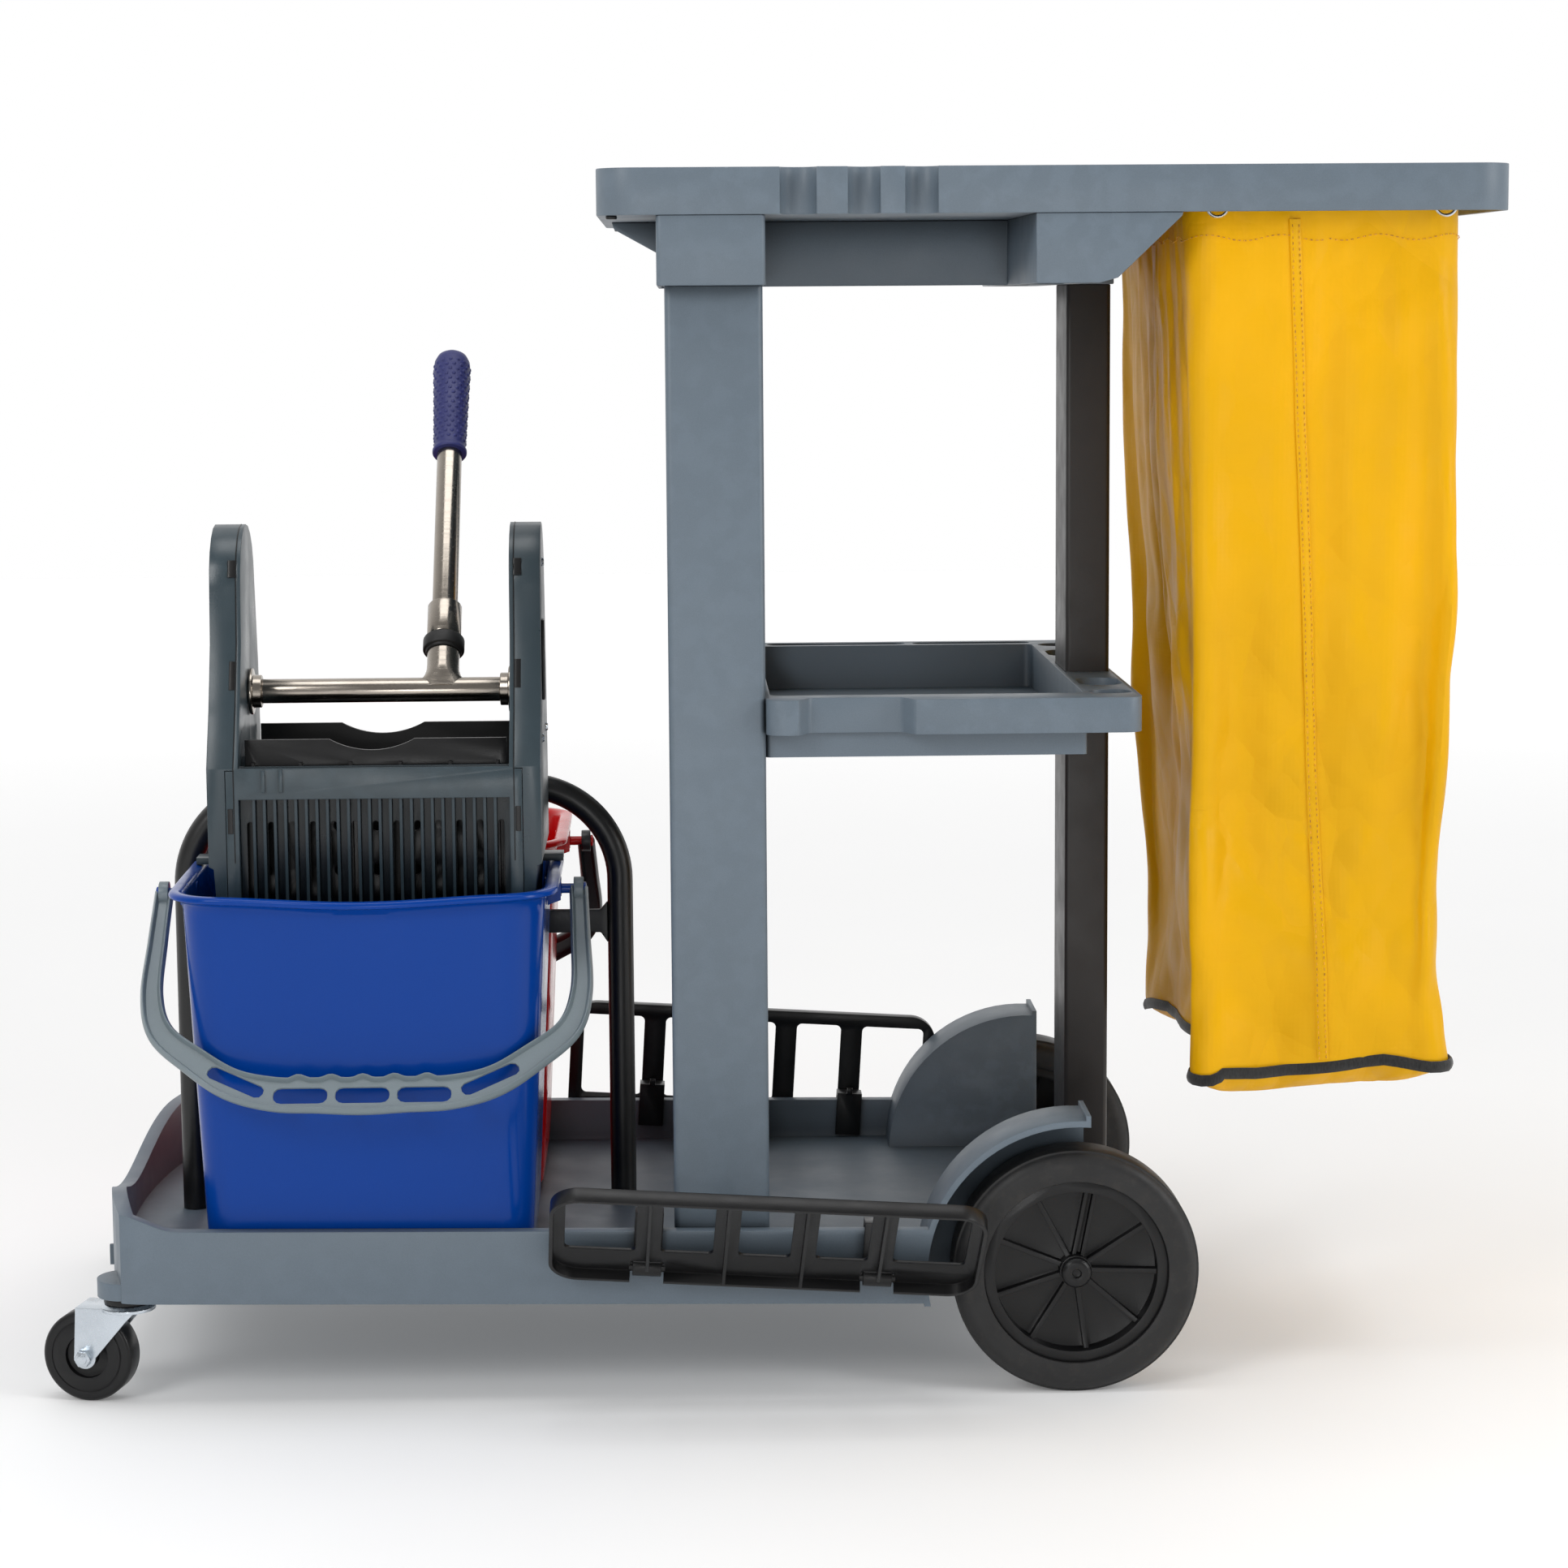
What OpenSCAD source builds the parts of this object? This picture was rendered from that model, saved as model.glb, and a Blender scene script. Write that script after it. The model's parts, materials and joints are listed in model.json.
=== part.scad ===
// Janitor cart: deck on wheels and casters, posts, shelf, top tray, fabric bag, folding side racks,
// two buckets with bails, and a down-press wringer. Millimetres, +Z up, the bucket end towards -X.

/* [Deck] */
// Half of the deck's width across the cart
deck_half = 250; // [245:1:256]
// Thickness of the deck's side wall
deck_wall = 12; // [9:1:13]
// Height of the deck's floor above the ground
deck_floor = 104; // [102:1:106]
// Height of the top of the deck's side wall, just behind the front corners
deck_top = 145; // [140:1:148]
// Rise of the deck's two front corners above the side wall
horn_rise = 15; // [5:1:20]

/* [Wheels] */
// Diameter of a rear wheel over its tyre
wheel_d = 200; // [190:1:204]
// Width of a rear tyre
wheel_w = 44; // [36:1:45]
// Diameter of the rear axle
axle_d = 12; // [10:1:14]
// Diameter of a caster wheel
caster_d = 75; // [70:1:76]
// Width of a caster wheel
caster_w = 24; // [18:1:25]

/* [Posts and tray] */
// Height of the top of the posts above the ground
post_top = 893; // [880:1:900]
// Width of a front post along the cart
post_w = 77; // [70:1:79]
// Height of the top tray's wall
tray_h = 36.5; // [30:0.5:45]
// Height of the top of the cart
cart_h = 984; // [975:1:1000]
// Height of the middle shelf's top above the ground
shelf_top = 568; // [540:1:590]

/* [Hoop and racks] */
// Diameter of the hoop's tube
hoop_d = 22; // [18:1:24]
// Height of the top of the hoop
hoop_top = 481; // [465:1:490]
// Angle of the near rack, leaning out from upright
rack_lean = 44; // [30:1:50]

/* [Buckets] */
// Width of a bucket's body at the top, along the cart
bucket_w = 291; // [284:1:293]
// Depth of a bucket's body at the top, across the cart
bucket_d = 226; // [216:1:226]
// Height of a bucket's rim above the ground
bucket_top = 417; // [408:1:425]
// Angle of a hanging bail, forward of straight down
bail_hang = 43; // [42:1:46]

/* [Wringer] */
// Width of the wringer over its side covers
wringer_w = 266; // [262:1:268]
// Angle at which the lever rests, back from upright
lever_rest = 40; // [30:1:42]
// Distance from the cross shaft to the end of the lever's grip
lever_len = 356; // [320:1:380]

/* [Bag] */
// Height of the bag's bottom edge above the ground
bag_bottom = 262; // [250:1:300]

/* [Hidden] */
// The ground-level origin is under the middle of the whole cart, with the near rack leaning out.
mid_y = 38;
hole_grow = 0.05;
play = 0.3;
cart_grey = [0.40, 0.45, 0.50];
dark_grey = [0.16, 0.17, 0.18];
slate = [0.20, 0.25, 0.28];
zinc = [0.75, 0.77, 0.78];
steel = [0.62, 0.60, 0.56];
$fn = 48;

deck_front = -550;
deck_rear = 305;
deck_bottom_front = 87;
deck_bottom_rear = 75;
wall_fall = 9;
dip_depth = 14;
tunnel_half = 11;
floor_t = 5;
bow_r = 971;
front_r = 50;
rear_r = 18;
wheel_x = 250.6;
wheel_z = wheel_d / 2;
wheel_y = deck_half - 3 - wheel_w / 2;
well_r = wheel_z + 21;
fender_t = 5;
well_y = deck_half - 55;
well_end_x = 261.5;
caster_x = -517;
caster_y = 222;
caster_trail = 32;
caster_turn = 13;
plate_z = caster_d + 1.2;
race_top = plate_z + 5;
boss_z = 88;
boss_r = 19;
post_x = -74;
post_y = deck_half - deck_wall - 4 - 60;
post_depth = 60;
rear_post_x = 262;
rear_post_w = 37;
rear_post_half = 43.5;
tray_x0 = -126.5;
tray_x1 = 591;
tray_z = cart_h - tray_h;
tray_r = 30;
ring_x = 322;
ring_w = 34;
ring_rear_w = 45;
shelf_x0 = post_x + post_w;
shelf_x1 = 302;
shelf_body_x1 = 258;
hoop_x0 = -489;
hoop_x1 = -118;
hoop_bend = 82;
bar_z = 352;
rack_x0 = -175;
rack_x1 = 168;
rack_h = 112;
rack_depth = 11.5;
rack_slope = 3.5;
rack_pivot_y = deck_half + 12;
rack_pivot_z = 109;
rack_mid_x = (rack_x0 + rack_x1) / 2;
bar_pitch = 61.6;
bar_w = 20;
first_bar_x = -96.5;
clip_w = 23;
knuckle_r = 7.5;
pin_r = 4;
bucket_x = -320;
bucket_y = 135;
draft = 15;
bail_z = bucket_top - 15;
bail_half = 170;
bail_len = 203;
bail_w = 12;
wringer_x = -310;
wringer_front = -215;
wringer_back = -45;
wringer_bottom = 262;
shaft_y = -118;
shaft_z = 566;
shaft_r = 10;
cheek_t = 25;
cheek_in = wringer_w / 2 - cheek_t;
flange_half = 118;
foot_half = 120;
step_z = bucket_top + 18;
socket_x = -260;
press_travel = 38;
press_h0 = 300;
press_h1 = 534;
grille_count = 24;
grille_pitch = 8.37;
bag_x0 = 336;
bag_x1 = 556;
bag_flare = 32;
bag_half = 230;
bag_top = tray_z + 12;
bag_t = 3;

// ---------- shared shapes ----------

// Everything is drawn about the cart's own middle plane and set in place here.
module on_cart() { translate([0, mid_y, 0]) children(); }

// A flat rectangle with exact round corners.
module round_rect(x0, x1, y0, y1, r) {
  translate([x0 + r, y0]) square([x1 - x0 - 2 * r, y1 - y0]);
  translate([x0, y0 + r]) square([x1 - x0, y1 - y0 - 2 * r]);
  for (x = [x0 + r, x1 - r], y = [y0 + r, y1 - r]) translate([x, y]) circle(r = r);
}

module round_box(x0, x1, y0, y1, z0, z1, r) {
  translate([0, 0, z0]) linear_extrude(z1 - z0) round_rect(x0, x1, y0, y1, r);
}

module box(x0, x1, y0, y1, z0, z1) { translate([x0, y0, z0]) cube([x1 - x0, y1 - y0, z1 - z0]); }

// Extrudes an outline drawn in X and Z across the cart, from y0 to y1.
module across(y0, y1) {
  translate([0, y1, 0]) rotate([90, 0, 0]) linear_extrude(y1 - y0) children();
}

// Extrudes an outline drawn in Y and Z along the cart, from x0 to x1.
module along(x0, x1) {
  translate([x0, 0, 0]) rotate([90, 0, 90]) linear_extrude(x1 - x0) children();
}

module rod_x(x0, x1, y, z, r) { translate([x0, y, z]) rotate([0, 90, 0]) cylinder(h = x1 - x0, r = r); }

module rod_y(x, y0, y1, z, r) { translate([x, y1, z]) rotate([90, 0, 0]) cylinder(h = y1 - y0, r = r); }

// Draws its children as they are for side -1 and mirrored across the middle plane for side 1.
module on_side(side) { if (side < 0) children(); else mirror([0, 1, 0]) children(); }

// A smooth step from 0 to 1.
function ease(t) = (1 - cos(180 * t)) / 2;

// ---------- deck ----------

module deck_outline(inset) {
  intersection() {
    round_rect(deck_front + inset, deck_rear - inset, -deck_half + inset, deck_half - inset,
      front_r - inset);
    translate([deck_front + bow_r, 0]) circle(r = bow_r - inset, $fn = 96);
  }
  translate([0, -deck_half + inset]) square([deck_rear - rear_r - inset, 2 * (deck_half - inset)]);
  round_rect(0, deck_rear - inset, -deck_half + inset, deck_half - inset, rear_r - inset);
}

// Side view of the walls: raised front corners, then a smooth fall to the side wall's height.
module deck_profile() {
  fall = [for (i = [0:8]) [-523 + 53 * i / 8, deck_top + horn_rise * (1 - ease(i / 8))]];
  polygon(concat(
    [[deck_rear, deck_top - wall_fall], [deck_rear, deck_bottom_rear], [deck_front, deck_bottom_front],
     [deck_front, deck_top + horn_rise]], fall));
}

// The front wall's top dips in the middle.
module front_dip() {
  dip = [for (i = [-12:12]) [i * 15.5, deck_top - dip_depth + (horn_rise + dip_depth) * ease(abs(i) / 12)]];
  along(deck_front - 5, -485) polygon(concat(dip, [[186, 190], [-186, 190]]));
}

module wheel_box() {
  across(-deck_half, -well_y + 4) intersection() {
    translate([wheel_x, wheel_z]) circle(r = well_r + fender_t, $fn = 96);
    translate([wheel_x - well_r - 5, deck_bottom_rear]) square([well_end_x - wheel_x + well_r + 5, 160]);
  }
  box(well_end_x - 4, well_end_x, -deck_half, -well_y + 4, 222, 230);
}

module deck() {
  color(cart_grey) on_cart() difference() {
    union() {
      difference() {
        intersection() {
          translate([0, 0, 60]) linear_extrude(120) deck_outline(0);
          across(-deck_half - 1, deck_half + 1) deck_profile();
        }
        translate([0, 0, deck_floor]) linear_extrude(100) deck_outline(deck_wall);
        translate([0, 0, 50]) linear_extrude(deck_floor - floor_t - 50) deck_outline(3.5);
        front_dip();
      }
      for (y = [-120, 0, 120]) box(deck_front + 4, deck_rear - 3, y - 2, y + 2, 86, deck_floor - 1);
      for (x = [-470, -330, -190, -50, 90])
        box(x - 2, x + 2, -deck_half + 3, deck_half - 3, 86, deck_floor - 1);
      for (side = [-1, 1]) on_side(side) {
        wheel_box();
        box(well_end_x - 4, deck_rear - 2, -well_y, -well_y + deck_wall,
          deck_floor - 2, deck_top - wall_fall);
        translate([caster_x, -caster_y, boss_z]) cylinder(h = deck_floor - boss_z - 2, r = 24);
      }
      box(wheel_x - tunnel_half, wheel_x + tunnel_half, -well_y, well_y, 86, 115);
    }
    for (side = [-1, 1]) on_side(side) rod_y(wheel_x, -deck_half - 1, -well_y, wheel_z, well_r);
    rod_y(wheel_x, -deck_half, deck_half, wheel_z, axle_d / 2);
    for (y = [-caster_y, caster_y])
      translate([caster_x, y, 60]) cylinder(h = boss_z - 60, r = boss_r + play);
    box(rear_post_x, rear_post_x + rear_post_w + hole_grow, -rear_post_half - hole_grow,
      rear_post_half + hole_grow, deck_floor, post_top);
  }
}

// ---------- posts ----------

module post(x0, x1, y0, y1, wall, r) {
  translate([0, 0, deck_floor]) linear_extrude(post_top - deck_floor) difference() {
    round_rect(x0, x1, y0, y1, r);
    round_rect(x0 + wall, x1 - wall, y0 + wall, y1 - wall, r - wall / 2);
  }
}

module front_post(side) {
  color(cart_grey) on_cart() on_side(side)
    post(post_x, post_x + post_w, -post_y - post_depth, -post_y, 3, 5);
}
module front_post_near() { front_post(-1); }
module front_post_far() { front_post(1); }

module rear_post() {
  color(dark_grey) on_cart()
    post(rear_post_x, rear_post_x + rear_post_w, -rear_post_half, rear_post_half, 3, 4);
}

// ---------- top tray ----------

notch_xs = [30.7, 82, 126.8];
notch_rs = [14.2, 12.6, 12.8];

module top_tray() {
  color(cart_grey) on_cart() difference() {
    union() {
      difference() {
        round_box(tray_x0, tray_x1, -deck_half, deck_half, tray_z, cart_h, tray_r);
        round_box(tray_x0 + 4, ring_x - 6, -deck_half + 30, deck_half - 30, tray_z + 4, cart_h + 1, 14);
        round_box(tray_x0 + 4, 8, -deck_half + 4, deck_half - 4, tray_z + 4, cart_h + 1, tray_r - 4);
        round_box(150, ring_x - 6, -deck_half + 4, deck_half - 4, tray_z + 4, cart_h + 1, 14);
        round_box(ring_x + ring_w, tray_x1 - ring_rear_w, -deck_half + ring_w, deck_half - ring_w,
          tray_z - 1, cart_h + 1, 16);
        difference() {
          round_box(ring_x, tray_x1 - 4, -deck_half + 4, deck_half - 4, tray_z - 1, cart_h - 4, tray_r - 4);
          round_box(ring_x + ring_w - 4, tray_x1 - ring_rear_w + 4, -deck_half + ring_w - 4,
            deck_half - ring_w + 4, tray_z - 2, cart_h, 20);
        }
      }
      box(8, 12, -deck_half + 20, deck_half - 20, tray_z, cart_h - 3);
      box(146, 150, -deck_half + 20, deck_half - 20, tray_z, cart_h - 3);
    }
    for (i = [0:2], y = [-deck_half, deck_half])
      translate([notch_xs[i], y, tray_z - 1]) cylinder(h = tray_h + 2, r = notch_rs[i]);
  }
}

// End blocks, centre web and front gusset that carry the tray on the posts.
module under_tray_frame() {
  slant = [[216, post_top], [266, post_top], [280, post_top + 4], [330, tray_z - 3], [331, tray_z],
           [216, tray_z]];
  color(cart_grey) on_cart() {
    difference() {
      union() {
        round_box(-80, 5, -deck_half + 1, deck_half - 1, post_top, tray_z, 4);
        across(-deck_half + 1, deck_half - 1) polygon(slant);
      }
      box(-76, 1, -post_y - 4 + 20, post_y + 4 - 20, post_top - 1, tray_z - 3);
      box(220, 258, -deck_half + 5, -rear_post_half - 6, post_top - 1, tray_z - 3);
      box(220, 258, rear_post_half + 6, deck_half - 5, post_top - 1, tray_z - 3);
      for (y0 = [-deck_half + 5, rear_post_half + 6])
        across(y0, y0 + deck_half - rear_post_half - 11)
          polygon([[262, post_top + 4], [277, post_top + 7], [325, tray_z - 3], [262, tray_z - 3]]);
    }
    box(262, 301, -rear_post_half - 4, rear_post_half + 4, post_top, tray_z);
    box(4, 217, -4, 4, post_top, tray_z);
    across(-3, 3) polygon([[-118, tray_z], [-79, tray_z], [-79, 921], [-116, tray_z - 6]]);
  }
}

module tray_feet() {
  color(dark_grey) on_cart() for (y = [-deck_half + 16, deck_half - 16])
    translate([tray_x0 + 12, y, tray_z - 3]) cylinder(h = 3, r = 4.5);
}

// ---------- middle shelf ----------

// Plan of the near edge: a hand recess with smooth ends, cut out of the outer band.
module shelf_recess() {
  start = [for (i = [0:6]) [26 + 14 * i / 6, -deck_half - 1 + 19 * ease(i / 6)]];
  end = [for (i = [0:6]) [108 + 16 * i / 6, -deck_half - 1 + 19 * (1 - ease(i / 6))]];
  polygon(concat([[26, -deck_half - 2]], start, end, [[124, -deck_half - 2]]));
}

module slot_hole(x0, x1, y, r) {
  translate([x0 + r, y - r, shelf_top - 60]) cube([x1 - x0 - 2 * r, 2 * r, 80]);
  for (x = [x0 + r, x1 - r]) translate([x, y, shelf_top - 60]) cylinder(h = 80, r = r);
}

module middle_shelf() {
  inner = 212;
  color(cart_grey) on_cart() difference() {
    union() {
      translate([0, 0, shelf_top - 28]) linear_extrude(28) difference() {
        round_rect(shelf_x0, shelf_x1, -deck_half, deck_half, 14);
        shelf_recess();
      }
      round_box(shelf_x0, shelf_body_x1 + 2, -deck_half + 24, deck_half - 12,
        shelf_top - 48, shelf_top - 26, 4);
    }
    round_box(shelf_x0 + 4, shelf_body_x1, -inner, inner, shelf_top - 39, shelf_top + 1, 8);
    round_box(shelf_x0 + 4, shelf_body_x1 - 3, -inner + 4, inner - 4, shelf_top - 50, shelf_top - 44, 8);
    box(rear_post_x - play, rear_post_x + rear_post_w + play, -rear_post_half - play,
      rear_post_half + play, shelf_top - 50, shelf_top + 1);
    slot_hole(16, 143, 230, 9);
    slot_hole(150, 258, 230, 9);
    for (side = [-1, 1]) on_side(side) {
      slot_hole(263, 298, -204, 14);
      translate([280.5, -112, shelf_top - 60]) cylinder(h = 80, r = 17.5);
      translate([280.5, -138, shelf_top - 60]) cylinder(h = 80, r = 17.5);
      box(263, 298, -138, -112, shelf_top - 60, shelf_top + 1);
    }
  }
}

// ---------- hoop ----------

module hoop() {
  r = hoop_d / 2;
  top = hoop_top - r;
  color("black") on_cart() {
    for (x = [hoop_x0, hoop_x1])
      translate([x, 0, deck_floor]) cylinder(h = top - hoop_bend - deck_floor, r = r);
    rod_x(hoop_x0 + hoop_bend, hoop_x1 - hoop_bend, 0, top, r);
    for (x = [hoop_x0 + hoop_bend, hoop_x1 - hoop_bend]) translate([x, 0, top - hoop_bend])
      rotate([90, 0, 0]) rotate([0, 0, x > bucket_x ? 0 : 90])
        rotate_extrude(angle = 90) translate([hoop_bend, 0]) circle(r = r);
  }
}

// Flat bar between the hoop's legs, with a small gusset at each end.
module hoop_crossbar() {
  r = hoop_d / 2;
  a = hoop_x0 + r;
  b = hoop_x1 - r;
  color("black") on_cart() across(-3, 3) polygon([
    [a, bar_z + 17], [a + 6, bar_z + 10], [b - 6, bar_z + 10], [b, bar_z + 17],
    [b, bar_z - 19], [b - 6, bar_z - 10], [a + 6, bar_z - 10], [a, bar_z - 19]]);
}

// ---------- rear wheels ----------

module rear_axle() {
  color(steel) on_cart() rod_y(wheel_x, -deck_half + 9, deck_half - 9, wheel_z, axle_d / 2);
}

// The wheel pieces are drawn about the Z axis, outer face up, and turned into place here.
module at_wheel(side) {
  on_cart() on_side(side) translate([wheel_x, -wheel_y, wheel_z]) rotate([90, 0, 0]) children();
}

module tyre(side) {
  h = wheel_w / 2;
  rim_r = 75;
  color([0.05, 0.05, 0.05]) at_wheel(side) rotate_extrude($fn = 96) difference() {
    union() {
      translate([rim_r, -h + 6]) square([wheel_z - rim_r, 2 * h - 12]);
      translate([rim_r, -h]) square([wheel_z - rim_r - 12, 2 * h]);
      for (y = [-h + 12, h - 12]) translate([wheel_z - 12, y]) circle(r = 12);
    }
    translate([0, -h]) square([rim_r, 2 * h]);
    translate([wheel_z, -h]) square([12, 2 * h]);
  }
}
module tyre_near() { tyre(-1); }
module tyre_far() { tyre(1); }

module rim(side) {
  h = wheel_w / 2 - 3;
  spoke_angles = [-2, 32.5, 118, 158, 198, 238, 278, 319];
  color([0.07, 0.07, 0.07]) at_wheel(side) difference() {
    union() {
      rotate_extrude($fn = 96) {
        translate([66, -h]) square([4, 2 * h]);
        translate([70, -h]) square([5, 2 * h]);
        translate([8, -3]) square([60, 6]);
        translate([axle_d / 2 + hole_grow, -h]) square([7, 2 * h - 2]);
      }
      for (a = spoke_angles) rotate([0, 0, a]) box(11, 67, -2, 2, -h + 6, h - 8);
      for (y = [-5, 2]) rotate([0, 0, 79]) box(11, 67, y, y + 3, -h + 6, h - 8);
    }
    cylinder(h = 2 * wheel_w, r = axle_d / 2 + hole_grow, center = true);
  }
}
module rim_near() { rim(-1); }
module rim_far() { rim(1); }

module hub_cap(side) {
  base = wheel_w / 2 - 5;
  r = 12.3;
  color([0.06, 0.06, 0.06]) at_wheel(side) difference() {
    union() {
      translate([0, 0, base]) cylinder(h = 5, r = r);
      translate([0, 0, base + 5]) cylinder(h = 2.5, r1 = r, r2 = r - 3);
    }
    translate([0, 0, base + 5]) cylinder(h = 4, r = 3.5);
    translate([0, 0, base - 1]) cylinder(h = 4, r = axle_d / 2 + 1);
  }
}
module hub_cap_near() { hub_cap(-1); }
module hub_cap_far() { hub_cap(1); }

// ---------- casters ----------

// A caster is drawn trailing towards -X from its swivel axis, then turned into its resting place.
module at_caster(side) {
  on_cart() on_side(side) translate([caster_x, -caster_y, 0]) rotate([0, 0, side * caster_turn])
    children();
}

module caster_boss(side) {
  color([0.06, 0.06, 0.06]) on_cart() on_side(side) translate([caster_x, -caster_y, race_top + play])
    cylinder(h = boss_z - race_top - play, r = boss_r);
}
module caster_boss_near() { caster_boss(-1); }
module caster_boss_far() { caster_boss(1); }

// One cheek of the fork: wide under the race, narrowing to a round end at the axle.
module fork_cheek() {
  z = caster_d / 2;
  polygon([[-caster_trail - 7, plate_z + 1], [12, plate_z + 1], [4, plate_z - 7], [-caster_trail + 9, z],
           [-caster_trail - 9, z]]);
  translate([-caster_trail, z]) circle(r = 9.2);
}

module caster_fork(side) {
  gap = caster_w / 2 + 1.5;
  color(zinc) at_caster(side) difference() {
    union() {
      translate([0, 0, plate_z]) cylinder(h = 2.5, r = 22.5);
      translate([0, 0, plate_z + 2.4]) cylinder(h = race_top - plate_z - 2.4, r1 = 21.5, r2 = 19);
      box(-caster_trail - 7, 0, -gap - 2.5, gap + 2.5, plate_z, plate_z + 2.5);
      for (y = [-gap - 2.5, gap]) across(y, y + 2.5) fork_cheek();
    }
    rod_y(-caster_trail, -30, 30, caster_d / 2, pin_r);
  }
}
module caster_fork_near() { caster_fork(-1); }
module caster_fork_far() { caster_fork(1); }

module caster_bolt(side) {
  out = caster_w / 2 + 4;
  color(zinc) at_caster(side) {
    rod_y(-caster_trail, -out - 7, out, caster_d / 2, pin_r);
    for (y = [-out - 6, out]) translate([-caster_trail, y + 6, caster_d / 2]) rotate([90, 0, 0])
      cylinder(h = 6, r = 7, $fn = 6);
  }
}
module caster_bolt_near() { caster_bolt(-1); }
module caster_bolt_far() { caster_bolt(1); }

module caster_wheel(side) {
  h = caster_w / 2;
  r = caster_d / 2;
  color([0.07, 0.07, 0.07]) at_caster(side) translate([-caster_trail, 0, r]) rotate([90, 0, 0])
    rotate_extrude($fn = 64) difference() {
      union() {
        translate([18, -h + 3]) square([r - 18, 2 * h - 6]);
        translate([18, -h]) square([r - 22, 2 * h]);
        for (y = [-h + 4, h - 4]) translate([r - 4, y]) circle(r = 4);
        translate([pin_r + hole_grow, -h + 5]) square([16, 2 * h - 10]);
        translate([pin_r + hole_grow, -h]) square([5, 2 * h]);
      }
      translate([r - 9, h - 0.8]) square([1.2, 2]);
      translate([r - 9, -h - 1.2]) square([1.2, 2]);
    }
}
module caster_wheel_near() { caster_wheel(-1); }
module caster_wheel_far() { caster_wheel(1); }

// ---------- side racks ----------

// The rack's own axes, from its hinge: X along the hinge, +Y towards the deck, Z up.
module at_rack(side, lean) {
  on_cart() on_side(side) translate([rack_mid_x, -rack_pivot_y, rack_pivot_z])
    rotate([0, rack_slope, 0]) rotate([lean, 0, 0]) translate([-rack_mid_x, 0, 0]) children();
}

module rack_windows() {
  edges = concat([rack_x0 + 12], [for (i = [0:3]) first_bar_x + i * bar_pitch + bar_w / 2]);
  ends = concat([for (i = [0:3]) first_bar_x + i * bar_pitch - bar_w / 2], [rack_x1 - 12]);
  for (i = [0:4]) round_rect(edges[i], ends[i], 26, rack_h - 11, 5);
}

module side_rack(side, lean) {
  clips = [first_bar_x, first_bar_x + 3 * bar_pitch];
  color([0.05, 0.05, 0.05]) at_rack(side, lean) {
    difference() {
      union() {
        across(-2, 1) difference() {
          round_rect(rack_x0, rack_x1, -6, rack_h, 24);
          rack_windows();
        }
        across(-rack_depth, 1) difference() {
          round_rect(rack_x0, rack_x1, -6, rack_h, 24);
          round_rect(rack_x0 + 3, rack_x1 - 3, -3, rack_h - 3, 21);
        }
        for (i = [0:3]) {
          x = first_bar_x + i * bar_pitch;
          box(x - 1.3, x + 1.3, -rack_depth, 0, -4, rack_h - 1);
        }
      }
      for (x = clips) box(x - clip_w / 2 - 2, x + clip_w / 2 + 2, -rack_depth - 2, 3, -8, 11);
    }
    for (x = clips) rod_x(x - clip_w / 2 - 3, x + clip_w / 2 + 3, 0, 0, pin_r);
  }
}
module side_rack_near() { side_rack(-1, rack_lean); }
module side_rack_far() { side_rack(1, 0); }

// Clips hook over the side wall; each ends in an eye that holds the rack's hinge pin.
module rack_clips(side) {
  out = rack_pivot_y - deck_half;
  in = out + deck_wall + play;
  color([0.04, 0.04, 0.04]) at_rack(side, 0) for (i = [0, 3]) {
    x = first_bar_x + i * bar_pitch;
    x0 = x - clip_w / 2;
    x1 = x + clip_w / 2;
    difference() {
      union() {
        box(x0, x1, in, in + 4, 2.5, 42);
        box(x0, x1, out - 3.6, in + 4, 38, 42);
        box(x0, x1, out - 3.6, out - play, -4, 42);
        box(x0, x1, 0, out - play, -4, 4);
        rod_x(x0, x1, 0, 0, knuckle_r);
        box(x - 2.5, x + 2.5, in, in + 5, 41, 47);
      }
      rod_x(x0 - 1, x1 + 1, 0, 0, pin_r + hole_grow);
    }
  }
}
module rack_clips_near() { rack_clips(-1); }
module rack_clips_far() { rack_clips(1); }

// ---------- buckets ----------

module at_bucket(side) { on_cart() on_side(side) translate([bucket_x, -bucket_y, 0]) children(); }

// Plan of the bucket, with a crown along its outer long side that fades towards the bottom.
module bucket_plan(grow, crown) {
  w = bucket_w / 2 + grow;
  d = bucket_d / 2 + grow;
  r = 38 + min(grow, 8);
  hull() {
    for (x = [-w + r, w - r], y = [-d + r, d - r]) translate([x, y]) circle(r = r, $fn = 32);
    if (crown > 0) translate([0, -d + 60 - crown]) circle(r = 60, $fn = 32);
  }
}

module bucket_solid(grow, z0, z1) {
  hull() {
    translate([0, 0, z0]) linear_extrude(0.5) bucket_plan(grow - draft, 0);
    translate([0, 0, z1 - 0.5]) linear_extrude(0.5) bucket_plan(grow, 14);
  }
}

module bucket(side) {
  wall = 3;
  at_bucket(side) {
    difference() {
      union() {
        bucket_solid(0, deck_floor + play, bucket_top - 1);
        translate([0, 0, bucket_top - 7]) linear_extrude(7) bucket_plan(10, 13);
        translate([0, 0, bucket_top - 13]) linear_extrude(7) bucket_plan(7, 13);
        for (x = [-1, 1]) {
          rod_x(x * (bail_half - 12) - 18, x * (bail_half - 12) + 18, 0, bail_z, pin_r);
          rod_x(x * (bail_half - 18) - 10, x * (bail_half - 18) + 10, 0, bail_z, 7);
        }
      }
      bucket_solid(-wall, deck_floor + 4, bucket_top + 1);
    }
  }
}
module bucket_blue() { color([0.03, 0.22, 0.66]) bucket(-1); }
module bucket_red() { color([0.75, 0.05, 0.06]) bucket(1); }

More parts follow.
